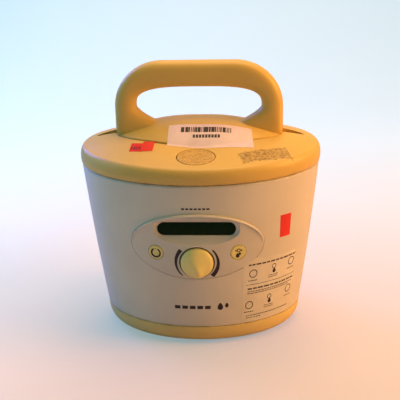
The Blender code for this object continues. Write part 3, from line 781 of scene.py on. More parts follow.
def blend_colour(tree, share, first, second):
    """One colour turning into another as share goes from 0 to 1."""
    made = node(tree, "Mix", data_type="RGBA", clamp_factor=True)
    factor, colour_a, colour_b = made.inputs[0], made.inputs[6], made.inputs[7]
    for socket, value in ((factor, share), (colour_a, first), (colour_b, second)):
        if isinstance(value, bpy.types.NodeSocket):
            tree.links.new(value, socket)
        else:
            socket.default_value = value if isinstance(value, float) else (*value, 1.0)
    return made.outputs[2]


def shade(colour_value, factor):
    return tuple(c * factor for c in colour_value)


def finish(name):
    """A new material, its node tree and its Principled shader."""
    made = bpy.data.materials.new(name)
    made.use_nodes = True
    return made, made.node_tree, made.node_tree.nodes["Principled BSDF"]


def made_once(wire):
    """Turns a function that wires a tree and its shader into one that gives its material, built once."""

    @wraps(wire)
    def get():
        name = wire.__name__
        if name in bpy.data.materials:
            return bpy.data.materials[name]
        made, tree, shader = finish(name)
        wire(tree, shader)
        return made

    return get


def set_colour(tree, shader, value):
    tree.links.new(value, shader.inputs["Base Color"])


def set_roughness(tree, shader, value, low, high):
    """Roughness that follows a value between two ends."""
    tree.links.new(spread(tree, value, 0.0, 1.0, low, high), shader.inputs["Roughness"])


def set_bump(tree, shader, height, strength, distance):
    bump = node(tree, "Bump", {"Height": height, "Strength": strength, "Distance": distance})
    tree.links.new(bump.outputs["Normal"], shader.inputs["Normal"])


def plastic(name, base, rough, grain, bump, levels=(), stains=(), coat=0.0):
    """Moulded plastic: grain, slow tone, scuffs, grime at stated levels, and stained patches."""
    name = f"moulded_{name}"
    if name in bpy.data.materials:
        return bpy.data.materials[name]
    settings = bpy.context.scene.pump_finish
    made, tree, shader = finish(name)
    surface = use(tree, moulded_grain(), grain=grain, mottle=16.0)
    marks = use(tree, scuff_marks(), patch=22.0, amount=settings.scuffs)["Mask"]
    paint = blend_colour(tree, surface["Tone"], shade(base, 0.93), shade(base, 1.04))
    paint = blend_colour(tree, maths(tree, "MULTIPLY", marks, 0.35), paint, shade(base, 0.62))
    for level, reach in levels:
        near = {"level": level * MM, "reach": reach * MM}
        dirt = use(tree, seam_grime(), amount=settings.grime, **near)["Mask"]
        paint = blend_colour(tree, dirt, paint, (base[0] * 0.42, base[1] * 0.34, base[2] * 0.26))
    height = surface["Height"]
    for centre, half, turn, cover, tint in stains:
        shape = {"centre": Vector(centre) * MM, "half": Vector(half) * MM}
        area = use(tree, patch_mask(), turn=math.radians(turn), **shape)["Mask"]
        specks = use(tree, speckle(), scale=420.0, cover=cover)["Mask"]
        where = maths(tree, "MULTIPLY", area, specks)
        paint = blend_colour(tree, maths(tree, "MULTIPLY", area, 0.22), paint, shade(tint, 1.6))
        paint = blend_colour(tree, maths(tree, "MULTIPLY", where, 0.8), paint, tint)
        height = maths(tree, "ADD", height, maths(tree, "MULTIPLY", where, 1.5))
    set_colour(tree, shader, paint)
    polish = spread(tree, surface["Tone"], 0.0, 1.0, *rough)
    roughness = maths(tree, "ADD", polish, maths(tree, "MULTIPLY", marks, 0.2), clamp=True)
    tree.links.new(roughness, shader.inputs["Roughness"])
    shader.inputs["Coat Weight"].default_value = coat
    shader.inputs["Coat Roughness"].default_value = 0.25
    set_bump(tree, shader, height, bump * 4, 0.00006)
    return made


@made_once
def printed_ink(tree, shader):
    """Screen-printed ink with slightly uneven cover."""
    ink = tuple(bpy.context.scene.pump_finish.ink)
    cover = use(tree, speckle(), scale=1600.0, cover=0.52)["Mask"]
    paint = blend_colour(tree, maths(tree, "MULTIPLY", cover, 0.3), ink, tuple(c + 0.06 for c in ink))
    set_colour(tree, shader, paint)
    grain = use(tree, moulded_grain(), grain=2500.0, mottle=40.0)
    set_roughness(tree, shader, grain["Tone"], 0.35, 0.55)
    set_bump(tree, shader, grain["Height"], 0.1, 0.00003)


def paper(name, base, rough, fade=None):
    """Coated label stock: fine fibre, soft creases and rubbed colour."""
    if name in bpy.data.materials:
        return bpy.data.materials[name]
    made, tree, shader = finish(name)
    fibre = use(tree, moulded_grain(), grain=1900.0, mottle=75.0)
    worn = use(tree, scuff_marks(), patch=60.0, amount=0.8)["Mask"]
    paint = blend_colour(tree, fibre["Tone"], shade(base, 0.9), shade(base, 1.05))
    paint = blend_colour(tree, maths(tree, "MULTIPLY", worn, 0.5), paint, fade or shade(base, 0.7))
    set_colour(tree, shader, paint)
    set_roughness(tree, shader, fibre["Tone"], rough - 0.08, rough + 0.08)
    crease = noise(tree, place(tree), 90.0, 2.0, Distortion=1.2)
    height = maths(tree, "ADD", maths(tree, "MULTIPLY", crease, 0.5), fibre["Height"])
    set_bump(tree, shader, height, 0.25, 0.00012)
    return made


@made_once
def clear_film(tree, shader):
    """The clear carrier of the instruction label, a little yellowed, its tone slowly uneven."""
    film = use(tree, moulded_grain(), grain=1200.0, mottle=45.0)
    paint = blend_colour(tree, film["Tone"], (0.74, 0.70, 0.62), (0.84, 0.82, 0.76))
    set_colour(tree, shader, paint)
    set_roughness(tree, shader, film["Tone"], 0.16, 0.3)
    set_bump(tree, shader, film["Height"], 0.08, 0.00005)


@made_once
def window_gloss(tree, shader):
    """The dark display cover: glossy, with faint segments behind it and fine wipe marks."""
    base = tuple(bpy.context.scene.pump_finish.window)
    layout = {"Scale": 1.0, "Brick Width": 0.0042, "Row Height": 0.0052, "Mortar Size": 0.0003}
    cells = node(tree, "TexBrick", {"Vector": place(tree), **layout}, offset=0.0)
    smear = use(tree, scuff_marks(), patch=90.0, amount=0.6)["Mask"]
    gaps = maths(tree, "MULTIPLY", cells.outputs["Fac"], 0.35)
    paint = blend_colour(tree, gaps, shade(base, 1.8), base)
    paint = blend_colour(tree, maths(tree, "MULTIPLY", smear, 0.15), paint, (0.06, 0.07, 0.06))
    set_colour(tree, shader, paint)
    set_roughness(tree, shader, smear, 0.07, 0.3)
    shader.inputs["IOR"].default_value = 1.49
    shader.inputs["Specular IOR Level"].default_value = 0.06


@made_once
def foot_rubber(tree, shader):
    """Matt black rubber, a little greyed."""
    grain = use(tree, moulded_grain(), grain=900.0, mottle=60.0)
    set_colour(tree, shader, blend_colour(tree, grain["Tone"], (0.02, 0.02, 0.021), (0.06, 0.058, 0.055)))
    set_roughness(tree, shader, grain["Tone"], 0.65, 0.85)
    set_bump(tree, shader, grain["Height"], 0.5, 0.0001)


@made_once
def cast_silicone(tree, shader):
    """Milky moulded silicone."""
    grain = use(tree, moulded_grain(), grain=700.0, mottle=35.0)
    set_colour(tree, shader, blend_colour(tree, grain["Tone"], (0.62, 0.62, 0.58), (0.74, 0.74, 0.70)))
    set_roughness(tree, shader, grain["Tone"], 0.42, 0.6)
    shader.inputs["Subsurface Weight"].default_value = 0.3
    shader.inputs["Subsurface Radius"].default_value = (0.003, 0.003, 0.002)
    set_bump(tree, shader, grain["Height"], 0.12, 0.00008)


@made_once
def cap_plastic(tree, shader):
    """The membrane caps: slightly cloudy clear plastic."""
    haze = use(tree, moulded_grain(), grain=1400.0, mottle=40.0)
    set_colour(tree, shader, blend_colour(tree, haze["Tone"], (0.78, 0.80, 0.80), (0.88, 0.90, 0.90)))
    set_roughness(tree, shader, haze["Tone"], 0.18, 0.32)
    shader.inputs["Transmission Weight"].default_value = 0.45
    shader.inputs["IOR"].default_value = 1.5
    set_bump(tree, shader, haze["Height"], 0.06, 0.00005)


@made_once
def machined_steel(tree, shader):
    """Plain steel with fine tool marks."""
    grain = use(tree, moulded_grain(), grain=2200.0, mottle=120.0)
    marks = use(tree, scuff_marks(), patch=120.0, amount=1.0)["Mask"]
    paint = blend_colour(tree, grain["Tone"], (0.52, 0.52, 0.53), (0.66, 0.66, 0.65))
    paint = blend_colour(tree, maths(tree, "MULTIPLY", marks, 0.5), paint, (0.35, 0.34, 0.33))
    set_colour(tree, shader, paint)
    shader.inputs["Metallic"].default_value = 1.0
    set_roughness(tree, shader, grain["Tone"], 0.22, 0.4)
    set_bump(tree, shader, grain["Height"], 0.08, 0.00004)


@made_once
def solder_mask(tree, shader):
    """A circuit board: green coating with tracks and pads showing through."""
    tracks = node(tree, "TexVoronoi", {"Vector": place(tree), "Scale": 260.0}, distance="MANHATTAN")
    lines = spread(tree, tracks.outputs["Distance"], 0.3, 0.36)
    grain = use(tree, moulded_grain(), grain=1800.0, mottle=60.0)
    paint = blend_colour(tree, lines, (0.012, 0.10, 0.045), (0.03, 0.19, 0.08))
    paint = blend_colour(tree, maths(tree, "MULTIPLY", grain["Tone"], 0.3), paint, (0.01, 0.07, 0.03))
    set_colour(tree, shader, paint)
    set_roughness(tree, shader, grain["Tone"], 0.3, 0.5)
    set_bump(tree, shader, lines, 0.3, 0.00008)


def give(obj, material):
    obj.data.materials.clear()
    obj.data.materials.append(material)
    return obj


def white_shell():
    base = tuple(bpy.context.scene.pump_finish.white)
    levels = ((BODY_LOW_Z, 3.0), (BODY_TOP_Z, 3.0))
    return plastic("white_shell", base, (0.34, 0.46), 1500.0, 0.05, levels)


def white_panel():
    base = tuple(bpy.context.scene.pump_finish.white)
    return plastic("white_panel", shade(base, 0.96), (0.26, 0.34), 1700.0, 0.04)


def yellow_shell():
    base = tuple(bpy.context.scene.pump_finish.yellow)
    levels = ((LID_EDGE_Z, 2.5),)
    residue = ((56.4, -50.0, 0.0), (21.5, 8.2, 40.0), -21.0, 0.43, (0.14, 0.07, 0.02))
    return plastic("yellow_shell", base, (0.34, 0.46), 1500.0, 0.05, levels, (residue,))


def yellow_base():
    """The tray's yellow, painted paler and bluer than the lid's as painted light bounced up from the floor,
    and dirty along its seam and its foot.
    """
    base = tuple(bpy.context.scene.pump_finish.yellow)
    # Painted light: the same yellow, made paler and bluer to stand in for light thrown up from the floor.
    lit_by_floor = (base[0] * 1.06, base[1] * 1.22, base[2] * 1.9)
    levels = ((BODY_LOW_Z, 2.0), (BASE_Z, 6.0))
    return plastic("yellow_base", lit_by_floor, (0.34, 0.46), 1500.0, 0.05, levels)


def button_yellow():
    """The release button's finish, rubbed brown by many thumbs."""
    base = tuple(bpy.context.scene.pump_finish.yellow)
    rubbed = ((0.0, BUTTON_Y, 0.0), (14.5, 13.0, 40.0), 0.0, 0.46, (0.34, 0.17, 0.03))
    return plastic("button_yellow", shade(base, 0.94), (0.36, 0.5), 1300.0, 0.07, stains=(rubbed,))


def key_yellow():
    base = tuple(bpy.context.scene.pump_finish.key)
    return plastic("key_yellow", base, (0.26, 0.36), 1800.0, 0.03, coat=0.25)


def black_plastic():
    return plastic("black_plastic", (0.025, 0.025, 0.027), (0.4, 0.55), 1100.0, 0.09)


def acetal():
    return plastic("acetal", (0.80, 0.80, 0.76), (0.34, 0.46), 1600.0, 0.04)


def battery_wrap():
    return plastic("battery_wrap", (0.06, 0.09, 0.22), (0.25, 0.4), 800.0, 0.06)


# ---------------------------------------------------------------- pieces


def build_housing():
    """The tapering housing wall with its openings and rear knuckles."""
    rows = []
    shoulder_z = BODY_TOP_Z - BODY_ROUND - 0.2
    for k in range(25):
        z = mix(BODY_LOW_Z + 0.5, shoulder_z, k / 24)
        rows.append(ellipse(*body_axes(z), z))
    a, b = body_axes(shoulder_z)
    for inset, z in arc((-BODY_ROUND, BODY_TOP_Z - BODY_ROUND), BODY_ROUND, 0, 90, 8):
        rows.append(ellipse(a + inset, b + inset, z))
    rows.append(ellipse(a - WALL, b - WALL, BODY_TOP_Z - 0.3))
    for k in range(7):
        z = mix(BODY_TOP_Z - 3, BODY_LOW_Z + 0.4, k / 6)
        a, b = body_axes(z)
        rows.append(ellipse(a - WALL, b - WALL, z))
    a, b = body_axes(BODY_LOW_Z)
    rows.append(ellipse(a - WALL + 0.4, b - WALL + 0.4, BODY_LOW_Z))
    rows.append(ellipse(a - 0.5, b - 0.5, BODY_LOW_Z))
    shell = skin("housing_shell", rows, closed=True)
    hole = [(x, z) for x, z, _ in ellipse(PANEL_A + SEAM, PANEL_B + SEAM, count=160)]
    panel_hole = skin("panel_hole", [[(x, y, PANEL_Z + z) for x, z in hole] for y in (-120, -30)])
    inlet_hole = rounded_block("inlet_hole", *INLET_HOLE, 1.5)
    card_hole = rounded_block("card_hole", *CARD_HOLE, 1.2)
    carve(shell, (panel_hole, inlet_hole, card_hole))
    arms = []
    for x in (-KNUCKLE_X, KNUCKLE_X):
        low = (x - KNUCKLE_HALF, 76, HINGE_Z - 14)
        high = (x + KNUCKLE_HALF, HINGE_Y + 1.0, HINGE_Z - 0.5)
        arms.append(rounded_block("knuckle_arm", low, high, 0.8))
        arms.append(barrel("knuckle", x))
    carve(shell, arms, "UNION")
    give(shell, white_shell())
    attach(shell, "housing")
    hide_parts("body_shell")


def barrel(name, x):
    """A hinge knuckle with softened ends."""
    half, soft = KNUCKLE_HALF, KNUCKLE_SOFT
    profile = [(HINGE_R - soft, -half), (HINGE_R, -half + soft)]
    profile += [(HINGE_R, half - soft), (HINGE_R - soft, half)]
    spot = Matrix.Translation((x, HINGE_Y, HINGE_Z)) @ ALONG_X
    return turned(name, profile, 40, spot)


def build_base():
    """The bottom tray with its rounded edge, and the rubber feet."""
    rows = []
    steps = 16
    height = BODY_LOW_Z - BASE_Z - SEAM - 0.5
    for i in range(steps + 1):
        turn = math.radians(90 * i / steps)
        a = BASE_A + (BODY_LOW_A - BASE_A) * math.sin(turn) ** 0.8
        b = BASE_B + (BODY_LOW_B - BASE_B) * math.sin(turn) ** 0.8
        rows.append(ellipse(a, b, BASE_Z + height * (1 - math.cos(turn))))
    top = BODY_LOW_Z - SEAM
    for inset, z in arc((-0.5, top - 0.5), 0.5, 0, 90, 3)[1:]:
        rows.append(ellipse(BODY_LOW_A + inset, BODY_LOW_B + inset, z))
    low_a, low_b = BODY_LOW_A - WALL - SEAM, BODY_LOW_B - WALL - SEAM
    for inset, z in ((0, top), (0, top + 4), (-1.6, top + 4), (-1.6, top - 3)):
        rows.append(ellipse(low_a + inset, low_b + inset, z))
    rows.append(ellipse(BASE_A - 1, BASE_B - 1, BASE_Z + WALL))
    tray = skin("base_tray", rows)
    # The tray's finish is painted paler, as painted light from the floor.
    give(tray, yellow_base())
    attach(tray, "housing")
    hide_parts("base_shell")
    for number in range(1, 5):
        low, high = cad_box(f"foot_{number}")
        centre, radius = (low + high) / 2, (high.x - low.x) / 2
        profile = [(radius * 0.4, 0.35), (radius - 1.6, 0.35), (radius - 1.2, 0.0)]
        profile += [(radius - 0.5, 0.25), (radius, 0.9), (radius, high.z)]
        spot = Matrix.Translation((centre.x, centre.y, 0))
        foot = turned(f"rubber_foot_{number}", profile, 48, spot)
        give(foot, foot_rubber())
        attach(foot, "housing")
        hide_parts(f"foot_{number}")


def slot_outline(side, count=64):
    """The opening beside the handle's foot that an air line leaves by."""
    points = []
    for i in range(count):
        turn = 2 * math.pi * i / count
        half = SLOT_HALF_WIDTH * (1.0 - SLOT_TAPER * math.cos(turn))
        across = SLOT_X + SLOT_HALF_LENGTH * math.cos(turn)
        points.append((side * across, SLOT_Y + half * math.sin(turn)))
    return points


def build_lid():
    """The domed lid ring with its rolled edge, slots and hinge barrels."""
    seat = [(x, y) for x, y, _ in ellipse(SEAT_A, SEAT_B)]
    soft = [(x, y) for x, y, _ in ellipse(SEAT_A + 0.5, SEAT_B + 0.5)]
    rim_a, rim_b = LID_A - LID_ROUND, LID_B - LID_ROUND
    rim = [(x, y) for x, y, _ in ellipse(rim_a, rim_b)]
    under_rim = [(x, y) for x, y, _ in ellipse(rim_a - 2.5, rim_b - 2.5)]
    rows = [[(x, y, lid_z(x, y) - 0.5) for x, y in seat]]
    for k in range(19):
        rows.append([(x, y, lid_z(x, y)) for x, y in between(soft, rim, k / 18)])
    for k in range(1, 13):
        turn = math.radians(90 * k / 12)
        out = LID_ROUND * math.sin(turn)
        ring = []
        for x, y, _ in ellipse(rim_a + out, rim_b + out):
            begin = lid_z(x * rim_a / (rim_a + out), y * rim_b / (rim_b + out))
            ring.append((x, y, LID_ROLL_Z + (begin - LID_ROLL_Z) * math.cos(turn) ** 0.9))
        rows.append(ring)
    outside = ((0.15, 2.6), (0.5, 0.9), (0.9, 0.25), (1.5, 0.0))
    inside = ((WALL + 0.2, 0.0), (WALL + 0.5, 0.6), (WALL + 0.4, LID_ROLL_Z - LID_EDGE_Z - 1))
    for inset, rise in outside + inside:
        rows.append(ellipse(LID_A - inset, LID_B - inset, LID_EDGE_Z + rise))
    for k in range(7):
        rows.append([(x, y, lid_z(x, y) - WALL) for x, y in between(under_rim, seat, k / 6)])
    shell = skin("lid_ring", rows, closed=True)
    hole = ellipse(BUTTON_A + BUTTON_GAP, BUTTON_B + BUTTON_GAP, count=96, y=BUTTON_Y)
    below, above = LID_EDGE_Z - 10, LID_RIM_Z + 2 * LID_CROWN
    tools = [skin("button_hole", [[(x, y, z) for x, y, _ in hole] for z in (below, above)])]
    for side in (-1, 1):
        outline = slot_outline(side)
        tools.append(skin("slot_hole", [[(x, y, z) for x, y in outline] for z in (below, above)]))
    carve(shell, tools)
    arms = []
    for x in (-BARREL_X, BARREL_X):
        low = (x - KNUCKLE_HALF, LID_B - 5, LID_EDGE_Z + 0.2)
        high = (x + KNUCKLE_HALF, HINGE_Y + 0.5, LID_EDGE_Z + 4)
        arms.append(rounded_block("lid_arm", low, high, 0.7))
        arms.append(barrel("lid_barrel", x))
    carve(shell, arms, "UNION")
    give(shell, yellow_shell())
    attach(shell, "lid")
    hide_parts("lid_shell")


def loop_outline(turn):
    """Outer and inner point of the handle loop, as (x, z), for a turn round it."""
    cos, sin = math.cos(turn), math.sin(turn)
    shoulder = HANDLE_TOP_Z - LOOP_MIDDLE_Z if sin > 0 else LOOP_MIDDLE_Z - LOOP_BOTTOM_Z
    if sin > 0:
        level = 0.4  # share of the turn that runs along the straight grip
        straight = math.copysign(LOOP_STRAIGHT * min(1.0, abs(cos) / level), cos)
        bend = max(0.0, abs(cos) - level) / (1 - level)
        across = math.copysign(bend, cos)
        outer = (
            straight + (HANDLE_HALF_WIDTH - LOOP_STRAIGHT) * across,
            LOOP_MIDDLE_Z + shoulder * math.sqrt(1 - bend**2),
        )
    else:
        outer = (HANDLE_HALF_WIDTH * corner(cos, 5.0), LOOP_MIDDLE_Z + shoulder * corner(sin, 8.0))
    reach = HANDLE_TOP_Z - GRIP_HEIGHT - LOOP_MIDDLE_Z if sin > 0 else LOOP_MIDDLE_Z - LOOP_FLOOR_Z
    power = 3.2 if sin > 0 else 1.4
    inner = (
        (HANDLE_HALF_WIDTH - LEG_WIDTH) * corner(cos, power),
        LOOP_MIDDLE_Z + reach * corner(sin, power),
    )
    return outer, inner


def loop_section(half, upright, count=72):
    """Points (out, back) of the loop's section, flatter in front along the grip."""
    points = []
    for i in range(count):
        turn = 2 * math.pi * i / count
        cos, sin = math.cos(turn), math.sin(turn)
        power = 2.2 if sin > 0 else 2.3 + 0.7 * upright
        depth = HANDLE_HALF_DEPTH - math.copysign(1, sin) * SECTION_SPLIT
        points.append((half * corner(cos, power), SECTION_SPLIT + depth * corner(sin, power)))
    return points


def build_handle():
    """The carrying handle: a soft-edged loop rising from an oval foot plate."""
    seat = [(x, y) for x, y, _ in ellipse(SEAT_A - 1.2, SEAT_B - 1.2, count=160)]
    flange = [(x, y) for x, y, _ in ellipse(FLANGE_A, FLANGE_B, count=160)]
    rows = [[(x, y, PLATE_Z) for x, y in flange]]
    rows.append([(x, y, lid_z(x, y) - WALL - SEAM) for x, y in flange])
    rows.append([(x, y, lid_z(x, y) - WALL - SEAM) for x, y in seat])
    rows.append([(x, y, lid_z(x, y) - 0.8) for x, y in seat])
    for share in [0.994] + [1 - k / 24 for k in range(1, 24)] + [0.02]:
        ring = [(x * share, y * share) for x, y in seat]
        rows.append([(x, y, saddle_z(x, y)) for x, y in ring])
    plate = skin("carry_handle", rows)
    sections, stations = [], 180
    for i in range(stations):
        outer, inner = loop_outline(2 * math.pi * i / stations)
        centre = Vector(((outer[0] + inner[0]) / 2, 0, (outer[1] + inner[1]) / 2))
        out = Vector((outer[0] - inner[0], 0, outer[1] - inner[1]))
        half = out.length / 2
        out.normalize()
        outline = loop_section(half, abs(out.z))
        sections.append([centre + out * u + Vector((0, v, 0)) for u, v in outline])
    loop = skin("handle_loop", sections, closed=True)
    carve(plate, (loop,), "UNION")
    notches = []
    for side in (-1, 1):
        low, high = (side * 76.5 - 3.5, -1.5, 155), (side * 76.5 + 3.5, 10.5, 175)
        notches.append(rounded_block("flange_notch", low, high, 0.5))
    carve(plate, notches)
    give(plate, yellow_shell())
    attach(plate, "lid")
    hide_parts("handle")


def build_release():
    """The oval button that frees the lid."""
    outline = [(x, y) for x, y, _ in ellipse(BUTTON_A, BUTTON_B, count=96, y=BUTTON_Y)]
    centre = [(0.0, BUTTON_Y)] * len(outline)
    rows = [[(x, y, 160.2) for x, y in between(centre, outline, 0.3)]]
    rows.append([(x, y, lid_z(x, y) - 3.6) for x, y in outline])
    rows.append([(x, y, lid_z(x, y) - 0.5) for x, y in outline])
    for k in range(12):
        share = mix(0.975, 0.03, k / 11)
        ring = between(centre, outline, share)
        rows.append([(x, y, lid_z(x, y) + 0.15 - 0.25 * (1 - share**2)) for x, y in ring])
    button = skin("release_pad", rows)
    give(button, button_yellow())
    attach(button, "release")
    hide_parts("release_button")


def inset_point(point, inset):
    """A point of the panel's outline moved towards the panel's middle."""
    x, z = point
    length = math.hypot(x, z - PANEL_Z)
    share = (length - inset) / length
    return x * share, PANEL_Z + (z - PANEL_Z) * share


def panel_outlines(count=240):
    """The window's, the hollow's and the panel's outlines as (x, z), point for point."""
    pill = [(x, WINDOW_Z + z) for x, z in stadium(WINDOW_A, WINDOW_B, count)]
    scoop = [(SCOOP_A * u, SCOOP_Z + SCOOP_B * v) for u, v in superellipse(3.0, 2.15, 2 * count)]
    rim = [(PANEL_A * u, PANEL_Z + PANEL_B * v) for u, v in superellipse(2.0, 2.0, 2 * count)]
    return pill, evenly(scoop, count), evenly(rim, count)


def panel_front(pill, scoop, rim, floor):
    """Rows from the window's edge out over the hollow, the panel's face and its bead."""
    rows = []
    for k in range(15):
        share = k / 14
        sink = 1 - (1 - share) ** 0.85
        row = []
        for (px, pz), (sx, sz) in zip(pill, scoop):
            x, z = mix(px, sx, share), mix(pz, sz, share)
            lip = panel_y(sx, sz) + 0.5 * (1 - smooth_step(share))
            row.append((x, mix(floor, lip, sink), z))
        rows.append(row)
    for k in range(1, 17):
        share = k / 16
        row = []
        for (sx, sz), edge_point in zip(scoop, rim):
            rx, rz = inset_point(edge_point, 2 * BEAD)
            x, z = mix(sx, rx, share), mix(sz, rz, share)
            row.append((x, panel_y(x, z), z))
        rows.append(row)
    for k in range(1, 13):
        turn = math.radians(180 * k / 12)
        row = []
        for edge_point in rim:
            x, z = inset_point(edge_point, BEAD * (1 + math.cos(turn)) - 0.1)
            swell = LIP_SWELL * smooth_step((z - PANEL_Z + 2) / 14)
            drop = (panel_proud(z) + 0.5) * smooth_step((turn / math.pi - 0.5) * 2)
            row.append((x, panel_y(x, z) - swell * math.sin(turn) + drop, z))
        rows.append(row)
    return rows


def panel_back(pill, scoop, rim, floor):
    """Rows over the panel's hidden side, from its edge in to the window's."""
    grow = 1.003
    rows = [[(x * grow, panel_y(x, z) + PANEL_DEPTH, PANEL_Z + (z - PANEL_Z) * grow) for x, z in rim]]
    for share in (0.9, 0.6, 0.3):
        row = []
        for (sx, sz), (rx, rz) in zip(scoop, rim):
            x, z = mix(sx, rx, share), mix(sz, rz, share)
            row.append((x, panel_y(x, z) + PANEL_DEPTH, z))
        rows.append(row)
    for share in (1.0, 0.5, 0.0):
        row = []
        for (px, pz), (sx, sz) in zip(pill, scoop):
            x, z = mix(px, sx, share), mix(pz, sz, share)
            row.append((x, mix(floor + 2.0, panel_y(sx, sz) + 6.0, share), z))
        rows.append(row)
    return rows


def build_panel():
    """The raised control panel, with its hollow round the display, tab, knob well and key holes."""
    pill, scoop, rim = panel_outlines()
    floor = WINDOW_Y + 0.2
    rows = panel_front(pill, scoop, rim, floor) + panel_back(pill, scoop, rim, floor)
    panel = skin("panel_face", rows, closed=True)
    tab_top = SCOOP_Z + SCOOP_B + 0.3
    lip_y = panel_y(0, tab_top)
    low, high = (-TAB_HALF_WIDTH, lip_y - 0.25, tab_top - 1.5), (TAB_HALF_WIDTH, lip_y + 2.4, tab_top)
    carve(panel, (rounded_block("lip_tab", low, high, 0.4),), "UNION")
    bore, mouth = KNOB_R + KNOB_GAP, KNOB_R + KNOB_GAP + 0.2
    well = [(4.2, -14), (4.2, -2.4), (bore, -2.4), (bore, 0.1), (mouth, 0.3), (mouth, 8)]
    tools = [turned("knob_well", well, 96, front_frame(0, KNOB_Z))]
    bore, mouth = KEY_R + KEY_GAP, KEY_R + 0.9
    for side in (-1, 1):
        profile = [(bore, -12), (bore, -0.35), (mouth, 0.2), (mouth, 8)]
        tools.append(turned("key_hole", profile, 64, front_frame(side * KEY_X, KEY_Z)))
    carve(panel, tools)
    give(panel, white_panel())
    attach(panel, "housing")
    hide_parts("control_panel", "display_surround")


def build_window():
    """The display window, with an eased edge."""
    rows = []
    for inset, y in ((0.25, 2.2), (0.25, 0.95), (0.35, 0.7), (0.65, 0.6)):
        outline = stadium(WINDOW_A - inset, WINDOW_B - inset)
        rows.append([(x, WINDOW_Y + y, WINDOW_Z + z) for x, z in outline])
    window = skin("display_cover", rows)
    give(window, window_gloss())
    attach(window, "housing")
    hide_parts("display_window")


def key_top(x, y):
    """Height of a key's dished top above its seat."""
    return 0.25 - 0.3 * (1 - min(1.0, math.hypot(x, y) / KEY_DISH_R) ** 2)


def build_keys():
    """The two round keys with their printed symbols."""
    lift = bpy.context.scene.pump_sizes.ink / MM
    for side, word in ((-1, "power"), (1, "phase")):
        spot = front_frame(side * KEY_X, KEY_Z)
        profile = [(2.0, -7.6), (2.0, -4.0), (KEY_R, -3.8)]
        profile += [(KEY_R - 0.9 + x, z - 0.65) for x, z in arc((0, 0), 0.9, 0, 80, 8)]
        for k in range(11):
            radius = KEY_DISH_R - 0.5 * k
            profile.append((radius, key_top(0, radius)))
        profile.append((0.05, key_top(0, 0)))
        key = turned(f"{word}_button", profile, 72, spot)
        give(key, key_yellow())
        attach(key, f"{word}_key")
        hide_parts(f"{word}_key")

        def surface(u, v, spot=spot):
            point = Vector((u, v, key_top(u, v)))
            return spot @ point, (spot.to_3x3() @ normal_of(key_top, u, v)).normalized()

        sheet = Sheet(surface, 0.01, 0.01 + lift)
        if word == "power":
            sheet.ring(0.1, -0.3, 3.75, 1.5, start=122, end=418, count=40)
            for turn in (66 + 24 * k for k in range(3)):
                cos, sin = math.cos(math.radians(turn)), math.sin(math.radians(turn))
                sheet.line([(r * cos + 0.1, r * sin - 0.3) for r in (3.3, 4.25)], 0.6)
        else:
            sheet.ring(0.2, 1.9, 1.35, 0.7, count=24)
            for tilt in (-1, 1):
                sheet.line([(tilt * 1.9 + 0.2, 1.9), (tilt * 3.3 + 0.2, 1.7)], lambda t: 1.7 * (1 - t) + 0.15)
            for x, y, size in ((1.2, -1.5, 1.0), (-0.7, -3.2, 1.6)):
                sheet.fill(droplet(x, y, size), 2)
        mark = sheet.done(f"{word}_symbol")
        give(mark, printed_ink())
        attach(mark, f"{word}_key")


def droplet(x, y, size, count=28):
    """Outline of a drop with its point up."""
    points = []
    for i in range(count):
        turn = 2 * math.pi * i / count
        pinch = 1.0 if math.sin(turn) < 0 else math.cos(turn) ** 2 * 0.45 + 0.55
        height = size * math.sin(turn) * (1.7 if math.sin(turn) > 0 else 1.0)
        points.append((x + size * math.cos(turn) * pinch, y + height))
    return points


def build_knob():
    """The vacuum knob, whose domed face sweeps up into one twisted ridge."""
    spot = front_frame(0, KNOB_Z)
    count = 128
    rows = [ellipse(2.9, 2.9, -13.0, count), ellipse(2.9, 2.9, -1.3, count)]
    rows += [ellipse(KNOB_R - 0.7, KNOB_R - 0.7, -1.3, count), ellipse(KNOB_R, KNOB_R, -0.7, count)]
    flanks = ((13.0, -8.0), (7.4, -4.7), (0.0, -1.2), (-6.0, 1.2), (-12.8, 1.8))

    def crest(y):
        """Where the ridge's top lies across the knob at a height on its face."""
        for (y1, x1), (y2, x2) in zip(flanks, flanks[1:]):
            if y >= y2:
                return mix(x1, x2, (y1 - y) / (y1 - y2))
        return flanks[-1][1]

    def face(x, y):
        radius = math.hypot(x, y)
        away = x - crest(y)
        width = 6.0 if away < 0 else mix(3.0, 9.0, smooth_step((y + 13) / 22))
        swell = 0.45 + 0.55 * smooth_step((8 - y) / 12)
        ridge = 3.2 * swell * math.exp(-((away / width) ** 2)) * (1 - (radius / 14.0) ** 4)
        return 4.7 - 2.6 * (radius / KNOB_R) ** 2.6 + ridge

    rows.append(ellipse(KNOB_R, KNOB_R, lambda x, y: face(x, y) - 1.3, count))
    for k in range(1, 6):
        turn = math.radians(90 * k / 5)
        radius = KNOB_R - 1.0 + math.cos(turn)
        sink = 1.3 - math.sin(turn)
        rows.append(ellipse(radius, radius, lambda x, y, s=sink: face(x, y) - s, count))
    for k in range(1, 30):
        radius = mix(KNOB_R - 1.0, 0.15, k / 29)
        sink = 0.3 * max(0.0, 1 - k / 3)
        rows.append(ellipse(radius, radius, lambda x, y, s=sink: face(x, y) - s, count))
    knob = skin("vacuum_dial", [[spot @ Vector(p) for p in row] for row in rows])
    give(knob, key_yellow())
    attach(knob, "vacuum_knob")
    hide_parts("vacuum_knob")


def seal_top(x, _):
    """Height of the dark ring of painted shade in the knob's gap, which drops to both sides with the panel's
    own curve.
    """
    return -0.35 - x * x / 250


